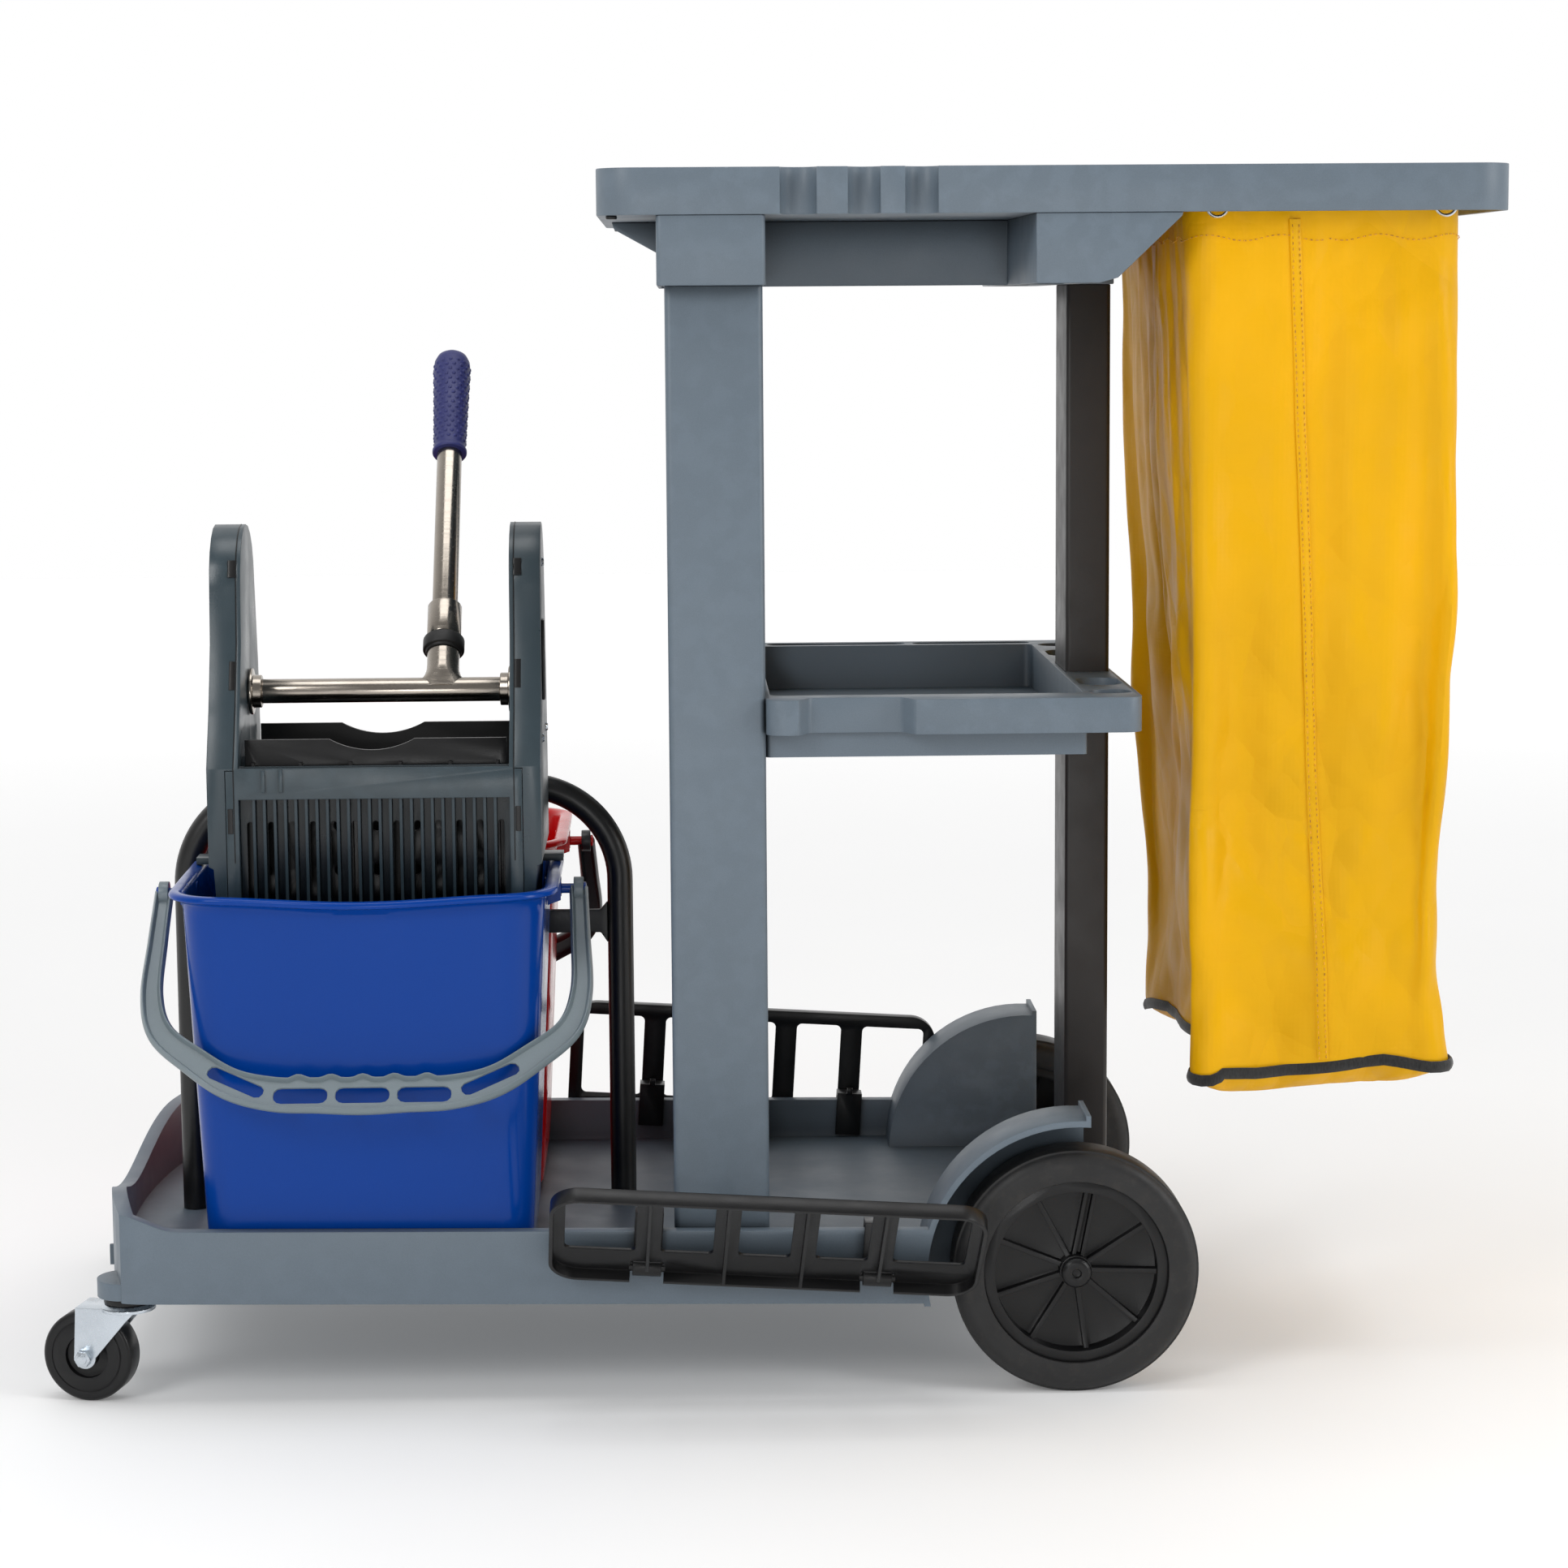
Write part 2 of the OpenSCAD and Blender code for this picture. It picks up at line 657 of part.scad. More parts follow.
// The bail's outline, drawn with Y as the distance from the pivot.
module bail_path(edge) {
  a = bail_half + edge;
  polygon([[-a, 0], [-a - 4, 108], [-a + 6, 128], [-100 - edge * 0.5, bail_len - 16 + edge * 0.6],
    [-78, bail_len + edge], [78, bail_len + edge],
    [100 + edge * 0.5, bail_len - 16 + edge * 0.6], [a - 6, 128], [a + 4, 108], [a, 0]]);
}

module bail(side) {
  half = bail_w / 2;
  at_bucket(side) translate([0, 0, bail_z]) rotate([-bail_hang, 0, 0]) mirror([0, 0, 1]) difference() {
    union() {
      across(-5, 5) difference() {
        offset(r = 10, $fn = 32) bail_path(half - 10);
        offset(r = 8, $fn = 32) bail_path(-half - 8);
        translate([-300, -50]) square([600, 56]);
      }
      across(-5, 5) difference() {
        union() {
          translate([-92, bail_len - 22]) square([184, 26]);
          for (i = [-2:2]) translate([i * 34, bail_len - 22]) circle(r = 8);
        }
        for (i = [-2:2]) round_rect(i * 34 - 14, i * 34 + 14, bail_len - 13, bail_len - 3, 4.5);
      }
      for (x = [-1, 1]) {
        rod_x(x * bail_half - 4, x * bail_half + 4, 0, 0, 9.5);
        box(x * bail_half - 4, x * bail_half + 4, -5, 5, 0, 12);
      }
    }
    for (x = [-1, 1]) rod_x(x * bail_half - 12, x * bail_half + 12, 0, 0, pin_r + hole_grow);
  }
}
module bail_blue() { color([0.42, 0.46, 0.48]) bail(-1); }
module bail_red() { color([0.20, 0.21, 0.22]) bail(1); }

// ---------- wringer ----------

// Side view of a cheek, drawn in Y and Z: straight foot, arched top.
module cheek_outline(inset) {
  lean = [for (i = [0:10]) let (a = 180 - 18 * i)
    [-115 + (50 - inset) * cos(a), 655 + (48 - inset) * sin(a)]];
  polygon(concat(
    [[wringer_back - inset, wringer_bottom + inset], [wringer_front + 20 + inset, wringer_bottom + inset],
     [wringer_front + inset, wringer_bottom + 40], [wringer_front + inset, 514],
     [wringer_front + 25 + inset, 560], [wringer_front + 45 + inset, 610]],
    lean, [[-51 - inset, 583], [wringer_back - inset, 500]]));
}

module guide_slots() {
  for (x = [-cheek_in - 4, cheek_in]) for (z = [345, 480]) for (y = [-187, -69 - press_travel]) {
    translate([wringer_x, 0, 0]) {
      box(x, x + 4, y, y + press_travel, z - 4.5, z + 4.5);
      rod_x(x, x + 4, y, z, 4.5);
      rod_x(x, x + 4, y + press_travel, z, 4.5);
    }
  }
}

module wringer_body() {
  face = -200;
  first = -(grille_count - 1) / 2 * grille_pitch;
  color(slate) on_cart() difference() {
    union() {
      for (x = [-cheek_in - 3.5, cheek_in]) translate([wringer_x, 0, 0])
        along(x, x + 3.5) cheek_outline(0);
      translate([wringer_x, 0, 0]) {
        for (x = [-1, 1]) {
          box(min(x * flange_half, x * cheek_in), max(x * flange_half, x * cheek_in),
            wringer_front, wringer_front + 3.5, wringer_bottom + 42, 512);
        }
        box(-cheek_in, cheek_in, wringer_front, wringer_front + 4, 490, 514);
        box(-cheek_in, cheek_in, wringer_front, face, 489, 492);
        difference() {
          box(-cheek_in, cheek_in, face - 3, face, wringer_bottom + 20, 514);
          for (i = [0:12]) {
            x = (i - 6) * 2 * grille_pitch;
            box(x - 2.5, x + 2.5, face - 4, face + 1, wringer_bottom + 30, 467);
            rod_y(x, face - 4, face + 1, 467, 2.5);
          }
        }
        for (i = [0:grille_count - 1])
          box(first + i * grille_pitch - 1.2, first + i * grille_pitch + 1.2, face - 12, face - 2,
            wringer_bottom + 20, 490);
        for (x = [-88, -74]) box(x - 1.5, x + 1.5, wringer_front - 2, wringer_front + 1, 495, 513);
        box(-cheek_in, cheek_in, wringer_back - 4, wringer_back, wringer_bottom + 4, 505);
        difference() {
          box(-cheek_in, cheek_in, face - 3, wringer_back, wringer_bottom + 18, wringer_bottom + 22);
          for (x = [-90:22.5:90], y = [-180:26:-60])
            translate([x, y, wringer_bottom]) cylinder(h = 40, r = 5, $fn = 24);
        }
        box(-160, -cheek_in - 1, -84, -60, bucket_top + 0.4, bucket_top + 6);
        box(cheek_in + 1, 146, -84, -60, bucket_top + 0.4, bucket_top + 6);
      }
    }
    rod_x(wringer_x - 130, wringer_x + 130, shaft_y, shaft_z, shaft_r + 0.08);
    guide_slots();
  }
}

// Front view of a cover, drawn in X and Z: full width above the bucket, tapering inside it.
module cover_front(inset) {
  outer = wringer_w / 2 - inset;
  polygon([[cheek_in - 2, wringer_bottom - 1], [foot_half - inset, wringer_bottom - 1],
    [outer - 4, step_z - 2], [outer, step_z], [outer, 720], [cheek_in - 2, 720]]);
}

// Outer half of a cheek: a shell closed on the outside, open towards the wringer.
module wringer_cover(x) {
  t = 3;
  inner = cheek_in + 3.5 + 0.2;
  outer = wringer_w / 2;
  color(slate) on_cart() translate([wringer_x, 0, 0]) mirror([x < 0 ? 1 : 0, 0, 0]) difference() {
    intersection() {
      along(inner, outer) cheek_outline(0);
      across(wringer_front - 1, wringer_back + 1) cover_front(0);
    }
    intersection() {
      along(inner - 1, outer) cheek_outline(t);
      across(wringer_front - 1, wringer_back + 1) cover_front(t);
    }
    box(100, flange_half + 0.5, wringer_front - 1, wringer_front + 4, wringer_bottom + 40, 512.5);
    box(100, outer + 20, -85, -59, bucket_top, bucket_top + 6.4);
  }
}
module wringer_cover_left() { wringer_cover(-1); }
module wringer_cover_right() { wringer_cover(1); }

module wringer_latches() {
  color([0.05, 0.05, 0.05]) on_cart() for (x = [-1, 1])
    translate([wringer_x + x * (wringer_w / 2 + 1.2), 0, 0])
      round_box(-1.2, 1.2, -150, -134, 560, 625, 1);
}

module cover_screws() {
  color(steel) on_cart() for (x = [-1, 1], p = [[-160, 530], [-80, 530], [-115, 670]])
    translate([wringer_x + x * wringer_w / 2, p[0], p[1]]) rotate([0, x * 90, 0])
      cylinder(h = 1.8, r1 = 4, r2 = 2.8);
}

module cross_shaft() {
  color(steel) on_cart()
    rod_x(wringer_x - wringer_w / 2 + 5, wringer_x + wringer_w / 2 - 5, shaft_y, shaft_z, shaft_r);
}

// Flanged hubs on the cross shaft, against the inner faces of the cheeks.
module shaft_hubs() {
  color(steel) on_cart() difference() {
    for (x = [-1, 1]) {
      a = wringer_x + x * (cheek_in - 5.5);
      rod_x(a - 5, a + 5, shaft_y, shaft_z, 13.5);
      b = wringer_x + x * (cheek_in - 2);
      rod_x(b - 1.5, b + 1.5, shaft_y, shaft_z, 19);
    }
    rod_x(wringer_x - wringer_w / 2, wringer_x + wringer_w / 2, shaft_y, shaft_z, shaft_r);
  }
}

// Cams inside the cheeks, which drive the two press plates.
module shaft_cams() {
  color(zinc) on_cart() for (x = [-1, 1]) {
    a = wringer_x + x * (cheek_in + 12);
    difference() {
      union() {
        rod_x(a - 4, a + 4, shaft_y, shaft_z, 18);
        rod_x(a - 4, a + 4, shaft_y, shaft_z + 17, 11);
        rod_x(a - 4, a + 4, shaft_y, shaft_z - 17, 11);
      }
      rod_x(a - 5, a + 5, shaft_y, shaft_z, shaft_r);
    }
  }
}

// The lever's own axes: Z along the lever from the shaft's centre.
module at_lever() {
  on_cart() translate([socket_x, shaft_y, shaft_z]) rotate([-lever_rest, 0, 0]) children();
}

module lever_socket() {
  color(steel) at_lever() difference() {
    union() {
      translate([0, 0, 4]) cylinder(h = 32, r = 13.5);
      translate([0, 0, 6]) cylinder(h = 8, r1 = 19, r2 = 13.5);
      rod_x(-24, 24, 0, 0, 12.5);
    }
    rod_x(-40, 40, 0, 0, shaft_r);
    translate([0, 0, 16]) cylinder(h = 30, r = 10.6);
  }
}

module lever_ring() {
  color([0.03, 0.03, 0.03]) at_lever() translate([0, 0, 36]) rotate_extrude() {
    translate([10.6, 0]) square([4, 15]);
    translate([14, 2]) square([3.2, 11]);
  }
}

module lever_collar() {
  color([0.45, 0.45, 0.44]) at_lever() translate([0, 0, 51]) rotate_extrude() {
    translate([10.6, 0]) square([3.6, 32]);
  }
}

module lever_tube() {
  color(steel) at_lever() difference() {
    translate([0, 0, 16]) cylinder(h = lever_len - 30, r = 10.6);
    translate([0, 0, 17]) cylinder(h = lever_len, r = 9.2);
  }
}

module lever_grip() {
  z0 = lever_len - 108;
  color([0.10, 0.13, 0.38]) at_lever() difference() {
    union() {
      translate([0, 0, z0]) cylinder(h = 4, r = 14.6);
      translate([0, 0, z0 + 4]) cylinder(h = 90, r1 = 13.6, r2 = 16);
      translate([0, 0, z0 + 92]) intersection() {
        sphere(r = 16);
        translate([-20, -20, 0]) cube(40);
      }
    }
    translate([0, 0, z0 - 1]) cylinder(h = lever_len - 14 - z0 + 1, r = 10.6);
  }
}

// A press plate with a dip in its top edge for the mop's handle, ribs, and guide pins at both ends.
module press_plate(face_y, dir, dip_x) {
  half = 105;
  dip_r = 70;
  y0 = dir > 0 ? face_y : face_y - 4;
  translate([wringer_x, 0, 0]) {
    difference() {
      box(-half, half, y0, y0 + 4, press_h0, press_h1);
      rod_y(dip_x, y0 - 1, y0 + 5, press_h1 + dip_r - 9, dip_r);
      for (x = [-90:30:90], z = [320:36:464]) rod_y(x, y0 - 1, y0 + 5, z, 5);
    }
    for (x = [-98, -60, -20, 20, 60, 98])
      box(x - 1.2, x + 1.2, dir > 0 ? y0 - 7 : y0 + 3, dir > 0 ? y0 + 1 : y0 + 11,
        press_h0 + 4, press_h1 - 18);
    for (z = [345, 480], x = [-1, 1])
      rod_x(x < 0 ? -cheek_in - 9 : half - 4, x < 0 ? -half + 4 : cheek_in + 9, y0 + 2, z, pin_r);
  }
}
module press_plate_front() { color([0.05, 0.05, 0.05]) on_cart() press_plate(-189, 1, -3); }
module press_plate_back() { color([0.05, 0.05, 0.05]) on_cart() press_plate(-67, -1, -3); }

// ---------- bag ----------

module bag_block(inset, z0, z1) {
  flare = bag_flare;
  hull() {
    round_box(bag_x0 + inset, bag_x1 + flare - inset, -bag_half + inset, bag_half - inset, z0, z0 + 1, 14);
    round_box(bag_x0 + inset, bag_x1 - inset, -bag_half + 4 + inset, bag_half - 4 - inset, z1 - 1, z1, 14);
  }
}

module bag() {
  color([0.98, 0.75, 0.02]) on_cart() difference() {
    bag_block(0, bag_bottom, bag_top);
    bag_block(bag_t, bag_bottom + bag_t, bag_top + 1);
  }
}

// Bias tape folded over the bag's bottom seam.
module bag_binding() {
  color([0.03, 0.03, 0.03]) on_cart() difference() {
    round_box(bag_x0 - 1.5, bag_x1 + bag_flare + 1.5, -bag_half - 1.5, bag_half + 1.5,
      bag_bottom - 3, bag_bottom + 5, 15);
    round_box(bag_x0 - hole_grow, bag_x1 + bag_flare + hole_grow, -bag_half - hole_grow,
      bag_half + hole_grow, bag_bottom - hole_grow, bag_bottom + 9, 14 + hole_grow);
    round_box(bag_x0 + 8, bag_x1 + bag_flare - 8, -bag_half + 8, bag_half - 8,
      bag_bottom - 4, bag_bottom + 1, 8);
  }
}

module at_ring() {
  on_cart() for (x = [360, 540], side = [-1, 1]) on_side(side) translate([x, -bag_half - 1, tray_z + 4.5])
    children();
}

// Hooks under the tray's rim that the bag's rings hang on.
module bag_pegs() {
  color([0.06, 0.06, 0.06]) at_ring() {
    translate([0, -7, 0]) cylinder(h = cart_h - 4 - tray_z - 4.5, r = 3);
    translate([0, -7, 3]) rotate([-90, 0, 0]) cylinder(h = 9, r = 2.4);
  }
}

module bag_rings() {
  color(zinc) at_ring() rotate([90, 0, 0]) difference() {
    cylinder(h = 2.4, r = 10);
    translate([0, 0, -1]) cylinder(h = 5, r = 6);
  }
}

deck();
front_post_near();
front_post_far();
rear_post();
top_tray();
under_tray_frame();
tray_feet();
middle_shelf();
hoop();
hoop_crossbar();
rear_axle();
caster_boss_near();
caster_boss_far();
rack_clips_near();
rack_clips_far();
bag();
bag_binding();
bag_pegs();
bag_rings();
tyre_near();
rim_near();
hub_cap_near();
tyre_far();
rim_far();
hub_cap_far();
caster_fork_near();
caster_bolt_near();
caster_wheel_near();
caster_fork_far();
caster_bolt_far();
caster_wheel_far();
side_rack_near();
side_rack_far();
bucket_blue();
bail_blue();
bucket_red();
bail_red();
wringer_body();
wringer_cover_left();
wringer_cover_right();
wringer_latches();
cover_screws();
cross_shaft();
shaft_hubs();
shaft_cams();
lever_socket();
lever_collar();
lever_ring();
lever_tube();
lever_grip();
press_plate_front();
press_plate_back();
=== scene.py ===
"""Looks of the janitor cart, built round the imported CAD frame. In metres, +Z up, buckets towards -X."""
import json
import math

import bmesh
import bpy
import numpy as np
from mathutils import Matrix, Vector, noise


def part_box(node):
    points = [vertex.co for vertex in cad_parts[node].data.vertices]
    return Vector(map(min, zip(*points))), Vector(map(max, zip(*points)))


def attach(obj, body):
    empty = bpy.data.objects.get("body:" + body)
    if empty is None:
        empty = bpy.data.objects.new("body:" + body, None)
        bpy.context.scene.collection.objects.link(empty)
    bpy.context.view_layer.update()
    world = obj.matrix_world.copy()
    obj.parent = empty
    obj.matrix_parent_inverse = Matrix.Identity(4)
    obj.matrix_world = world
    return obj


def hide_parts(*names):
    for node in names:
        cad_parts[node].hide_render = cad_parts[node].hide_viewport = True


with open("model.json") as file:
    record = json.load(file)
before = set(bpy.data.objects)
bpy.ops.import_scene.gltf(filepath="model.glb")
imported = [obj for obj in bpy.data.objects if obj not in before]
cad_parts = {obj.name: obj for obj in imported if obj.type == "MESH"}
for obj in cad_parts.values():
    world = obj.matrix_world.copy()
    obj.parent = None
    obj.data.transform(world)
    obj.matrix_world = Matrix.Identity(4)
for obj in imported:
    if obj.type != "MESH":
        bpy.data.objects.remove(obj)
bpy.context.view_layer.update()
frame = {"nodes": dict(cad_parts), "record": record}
scene = bpy.context.scene
MM = 0.001
SHARP_ANGLE = math.radians(38)
X_AXIS = Vector((1, 0, 0))

deck_low, deck_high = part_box("deck")
MID_Y = (deck_low.y + deck_high.y) / 2


# ---------- node helpers ----------

def new_material(name):
    mat = bpy.data.materials.new(name)
    mat.use_nodes = True
    return mat, mat.node_tree, mat.node_tree.nodes["Principled BSDF"]


def link(tree, a, b):
    tree.links.new(a, b)


def coords(tree, stretch=(1, 1, 1)):
    where = tree.nodes.new("ShaderNodeTexCoord")
    mapping = tree.nodes.new("ShaderNodeMapping")
    mapping.inputs["Scale"].default_value = stretch
    link(tree, where.outputs["Object"], mapping.inputs["Vector"])
    return mapping.outputs["Vector"]


def noise_node(tree, scale, detail=2.0, rough=0.5, stretch=(1, 1, 1), distortion=0.0):
    tex = tree.nodes.new("ShaderNodeTexNoise")
    tex.inputs["Scale"].default_value = scale
    tex.inputs["Detail"].default_value = detail
    tex.inputs["Roughness"].default_value = rough
    tex.inputs["Distortion"].default_value = distortion
    link(tree, coords(tree, stretch), tex.inputs["Vector"])
    return tex.outputs["Fac"]


def remap(tree, value, low, high, from_low=0.3, from_high=0.7):
    node = tree.nodes.new("ShaderNodeMapRange")
    node.inputs["From Min"].default_value = from_low
    node.inputs["From Max"].default_value = from_high
    node.inputs["To Min"].default_value = low
    node.inputs["To Max"].default_value = high
    link(tree, value, node.inputs["Value"])
    return node.outputs["Result"]


def math_node(tree, kind, a, b=None):
    node = tree.nodes.new("ShaderNodeMath")
    node.operation = kind
    for socket, value in zip(node.inputs, (a, b)):
        if isinstance(value, (int, float)):
            socket.default_value = value
        elif value is not None:
            link(tree, value, socket)
    return node.outputs["Value"]


def mix_colour(tree, fac, a, b):
    node = tree.nodes.new("ShaderNodeMix")
    node.data_type = "RGBA"
    link(tree, fac, node.inputs["Factor"])
    for socket, value in ((node.inputs[6], a), (node.inputs[7], b)):
        if isinstance(value, tuple):
            socket.default_value = (*value, 1)
        else:
            link(tree, value, socket)
    return node.outputs[2]


def bumped(tree, bsdf, layers, edge=0.0):
    """layers are (height, depth in metres); edge rounds the shading of sharp edges by that radius."""
    normal = None
    if edge:
        bevel = tree.nodes.new("ShaderNodeBevel")
        bevel.samples = 3
        bevel.inputs["Radius"].default_value = edge
        normal = bevel.outputs["Normal"]
    for height, depth in layers:
        bump = tree.nodes.new("ShaderNodeBump")
        bump.inputs["Strength"].default_value = 1.0
        bump.invert = depth < 0
        bump.inputs["Distance"].default_value = abs(depth)
        link(tree, height, bump.inputs["Height"])
        if normal is not None:
            link(tree, normal, bump.inputs["Normal"])
        normal = bump.outputs["Normal"]
    link(tree, normal, bsdf.inputs["Normal"])


def scaled(colour, k):
    return tuple(min(1.0, c * k) for c in colour)


def dust_and_painted_shade(tree, colour, tint, wear, painted_shade_reach=0.0):
    """Slow colour drift, a fine speckle, paler edges where hands rub, and painted shade: colour darkened in
    recesses and corners by ambient occlusion.
    """
    drift = remap(tree, noise_node(tree, 3.5, 2), 0, 1, 0.25, 0.75)
    base = mix_colour(tree, drift, scaled(colour, 1 - tint), scaled(colour, 1 + tint))
    speck = remap(tree, noise_node(tree, 1300, 1), 0, 1)
    base = mix_colour(tree, math_node(tree, "MULTIPLY", speck, 0.25), base, scaled(colour, 1.3))
    if wear:
        geometry = tree.nodes.new("ShaderNodeNewGeometry")
        edges = remap(tree, geometry.outputs["Pointiness"], 0, wear, 0.515, 0.60)
        patches = remap(tree, noise_node(tree, 60, 4), 0, 1, 0.45, 0.6)
        base = mix_colour(tree, math_node(tree, "MULTIPLY", edges, patches), base, scaled(colour, 1.9))
    # Painted shade: ambient occlusion darkens the colour towards a sixth of itself in recesses and corners.
    if painted_shade_reach:
        hollow = tree.nodes.new("ShaderNodeAmbientOcclusion")
        hollow.samples = 6
        hollow.inputs["Distance"].default_value = painted_shade_reach
        open_share = remap(tree, hollow.outputs["AO"], 0, 1, 0.15, 0.85)
        base = mix_colour(tree, open_share, scaled(colour, 0.16), base)
    return base


def plastic(name, colour, rough, grain=900, depth=0.00006, tint=0.06, wear=0.35, edge=0.0008, painted_shade_reach=0.0,
            gloss=0.5):
    mat, tree, bsdf = new_material(name)
    link(tree, dust_and_painted_shade(tree, colour, tint, wear, painted_shade_reach), bsdf.inputs["Base Color"])
    smudge = remap(tree, noise_node(tree, 26, 4, 0.6), rough - 0.06, rough + 0.07)
    link(tree, smudge, bsdf.inputs["Roughness"])
    bsdf.inputs["Specular IOR Level"].default_value = gloss
    bumped(tree, bsdf, [(noise_node(tree, grain, 2), depth), (noise_node(tree, 9, 1), 0.0006)], edge)
    return mat


def metal(name, colour, rough, streak=(1, 1, 1), scale=300, edge=0.0005, mottled=0.12):
    mat, tree, bsdf = new_material(name)
    drift = remap(tree, noise_node(tree, 22, 4), 0, 1)
    base = mix_colour(tree, drift, scaled(colour, 1 - mottled), scaled(colour, 1 + mottled))
    link(tree, base, bsdf.inputs["Base Color"])
    bsdf.inputs["Metallic"].default_value = 1.0
    lines = noise_node(tree, scale, 3, 0.6, streak)
    link(tree, remap(tree, lines, rough - 0.07, rough + 0.09), bsdf.inputs["Roughness"])
    bumped(tree, bsdf, [(lines, 0.00003)], edge)
    return mat


def painted_tube(name, colour, rough):
    """Powder coat: faint orange peel and a little dust."""
    mat, tree, bsdf = new_material(name)
    link(tree, dust_and_painted_shade(tree, colour, 0.1, 0.2), bsdf.inputs["Base Color"])
    link(tree, remap(tree, noise_node(tree, 40, 3), rough - 0.05, rough + 0.08), bsdf.inputs["Roughness"])
    bumped(tree, bsdf, [(noise_node(tree, 420, 2), 0.00005)], 0.0006)
    return mat


def tyre_rubber(name, colour):
    mat, tree, bsdf = new_material(name)
    scuff = remap(tree, noise_node(tree, 90, 5, 0.7), 0, 1, 0.5, 0.75)
    base = mix_colour(tree, math_node(tree, "MULTIPLY", scuff, 0.35), colour, (0.040, 0.034, 0.029))
    link(tree, base, bsdf.inputs["Base Color"])
    link(tree, remap(tree, noise_node(tree, 35, 3), 0.42, 0.6), bsdf.inputs["Roughness"])
    bumped(tree, bsdf, [(noise_node(tree, 700, 2), 0.00005), (noise_node(tree, 60, 3), 0.0003)], 0.001)
    return mat


def nylon(name, colour, thread=0.0006):
    """Coated nylon: a fine plain weave, crisp creases, and light that comes through from behind."""
    mat, tree, bsdf = new_material(name)
    drift = remap(tree, noise_node(tree, 5, 3), 0, 1)
    base = mix_colour(tree, drift, scaled(colour, 0.93), scaled(colour, 1.05))
    patchy = remap(tree, noise_node(tree, 4, 2), 0.25, 1.0)
    crease_layers = []
    for scale, depth in ((8.5, 0.022), (21, 0.0080), (47, 0.0024)):
        cells = tree.nodes.new("ShaderNodeTexVoronoi")
        cells.inputs["Scale"].default_value = scale
        link(tree, coords(tree, (1, 1, 0.75)), cells.inputs["Vector"])
        crease_layers.append((math_node(tree, "MULTIPLY", cells.outputs["Distance"], patchy), -depth))
    link(tree, base, bsdf.inputs["Base Color"])
    link(tree, remap(tree, noise_node(tree, 30, 3), 0.38, 0.50), bsdf.inputs["Roughness"])
    bsdf.inputs["Sheen Weight"].default_value = 0.02
    bsdf.inputs["Specular IOR Level"].default_value = 0.22
    weave = None
    for axis in ("X", "Y", "Z"):
        wave = tree.nodes.new("ShaderNodeTexWave")
        wave.bands_direction = axis
        wave.inputs["Scale"].default_value = 1 / thread / 20
        wave.inputs["Distortion"].default_value = 0.4
        link(tree, coords(tree), wave.inputs["Vector"])
        fac = wave.outputs["Fac"]
        weave = fac if weave is None else math_node(tree, "ADD", weave, fac)
    bumped(tree, bsdf, [(weave, 0.00003), *crease_layers])
    glow = tree.nodes.new("ShaderNodeBsdfTranslucent")
    link(tree, base, glow.inputs["Color"])
    blend = tree.nodes.new("ShaderNodeMixShader")
    blend.inputs["Fac"].default_value = 0.24
    link(tree, bsdf.outputs["BSDF"], blend.inputs[1])
    link(tree, glow.outputs["BSDF"], blend.inputs[2])
    link(tree, blend.outputs["Shader"], tree.nodes["Material Output"].inputs["Surface"])
    return mat


def tape(name, colour):
    mat, tree, bsdf = new_material(name)
    ribs = noise_node(tree, 900, 1, 0.5, (1, 1, 0.15))
    link(tree, mix_colour(tree, remap(tree, ribs, 0, 1), scaled(colour, 0.7), scaled(colour, 2.4)),
         bsdf.inputs["Base Color"])
    bsdf.inputs["Sheen Weight"].default_value = 0.3
    link(tree, remap(tree, noise_node(tree, 60, 2), 0.75, 0.95), bsdf.inputs["Roughness"])
    bumped(tree, bsdf, [(ribs, 0.0002)])
    return mat


# cart_plastic and slate_plastic paint shade into their recesses by ambient occlusion (35 mm and 18 mm reach).
MATERIALS = {
    "cart_plastic": plastic("cart_plastic", (0.116, 0.150, 0.184), 0.45, tint=0.035, wear=0.2,
                            painted_shade_reach=0.035),
    "dark_post": painted_tube("dark_post", (0.020, 0.017, 0.016), 0.42),
    "black_metal": painted_tube("black_metal", (0.005, 0.005, 0.005), 0.34),
    "black_plastic": plastic("black_plastic", (0.0045, 0.0045, 0.005), 0.34, grain=600, tint=0.03, wear=0.4,
                             gloss=0.36),
    "tyre_rubber": tyre_rubber("tyre_rubber", (0.0075, 0.0075, 0.008)),
    "zinc": metal("zinc", (0.60, 0.65, 0.70), 0.27, scale=160),
    "steel": metal("steel", (0.34, 0.305, 0.265), 0.20, (0.05, 1, 1), 500),
    "blue_plastic": plastic("blue_plastic", (0.0001, 0.042, 0.27), 0.19, grain=420, depth=0.00001, tint=0.02,
                            wear=0.05, edge=0, gloss=0.20),
    "red_plastic": plastic("red_plastic", (0.62, 0.002, 0.004), 0.17, grain=420, depth=0.00001, tint=0.02,
                           wear=0.05, edge=0, gloss=0.28),
    "bail_plastic": plastic("bail_plastic", (0.165, 0.205, 0.225), 0.34, tint=0.03, wear=0.15),
    "bail_dark": plastic("bail_dark", (0.016, 0.017, 0.019), 0.36, tint=0.03),
    "slate_plastic": plastic("slate_plastic", (0.026, 0.042, 0.052), 0.32, grain=700, tint=0.03,
                             wear=0.2, painted_shade_reach=0.018),
    "navy_rubber": plastic("navy_rubber", (0.012, 0.016, 0.115), 0.5, grain=500),
    "black_rubber": plastic("black_rubber", (0.008, 0.008, 0.008), 0.55, grain=400),
    "bag_fabric": nylon("bag_fabric", (0.95, 0.53, 0.0005)),
    "black_tape": tape("black_tape", (0.008, 0.008, 0.008)),
}


THREAD = tape("thread", (0.50, 0.20, 0.004))


# ---------- mesh helpers ----------

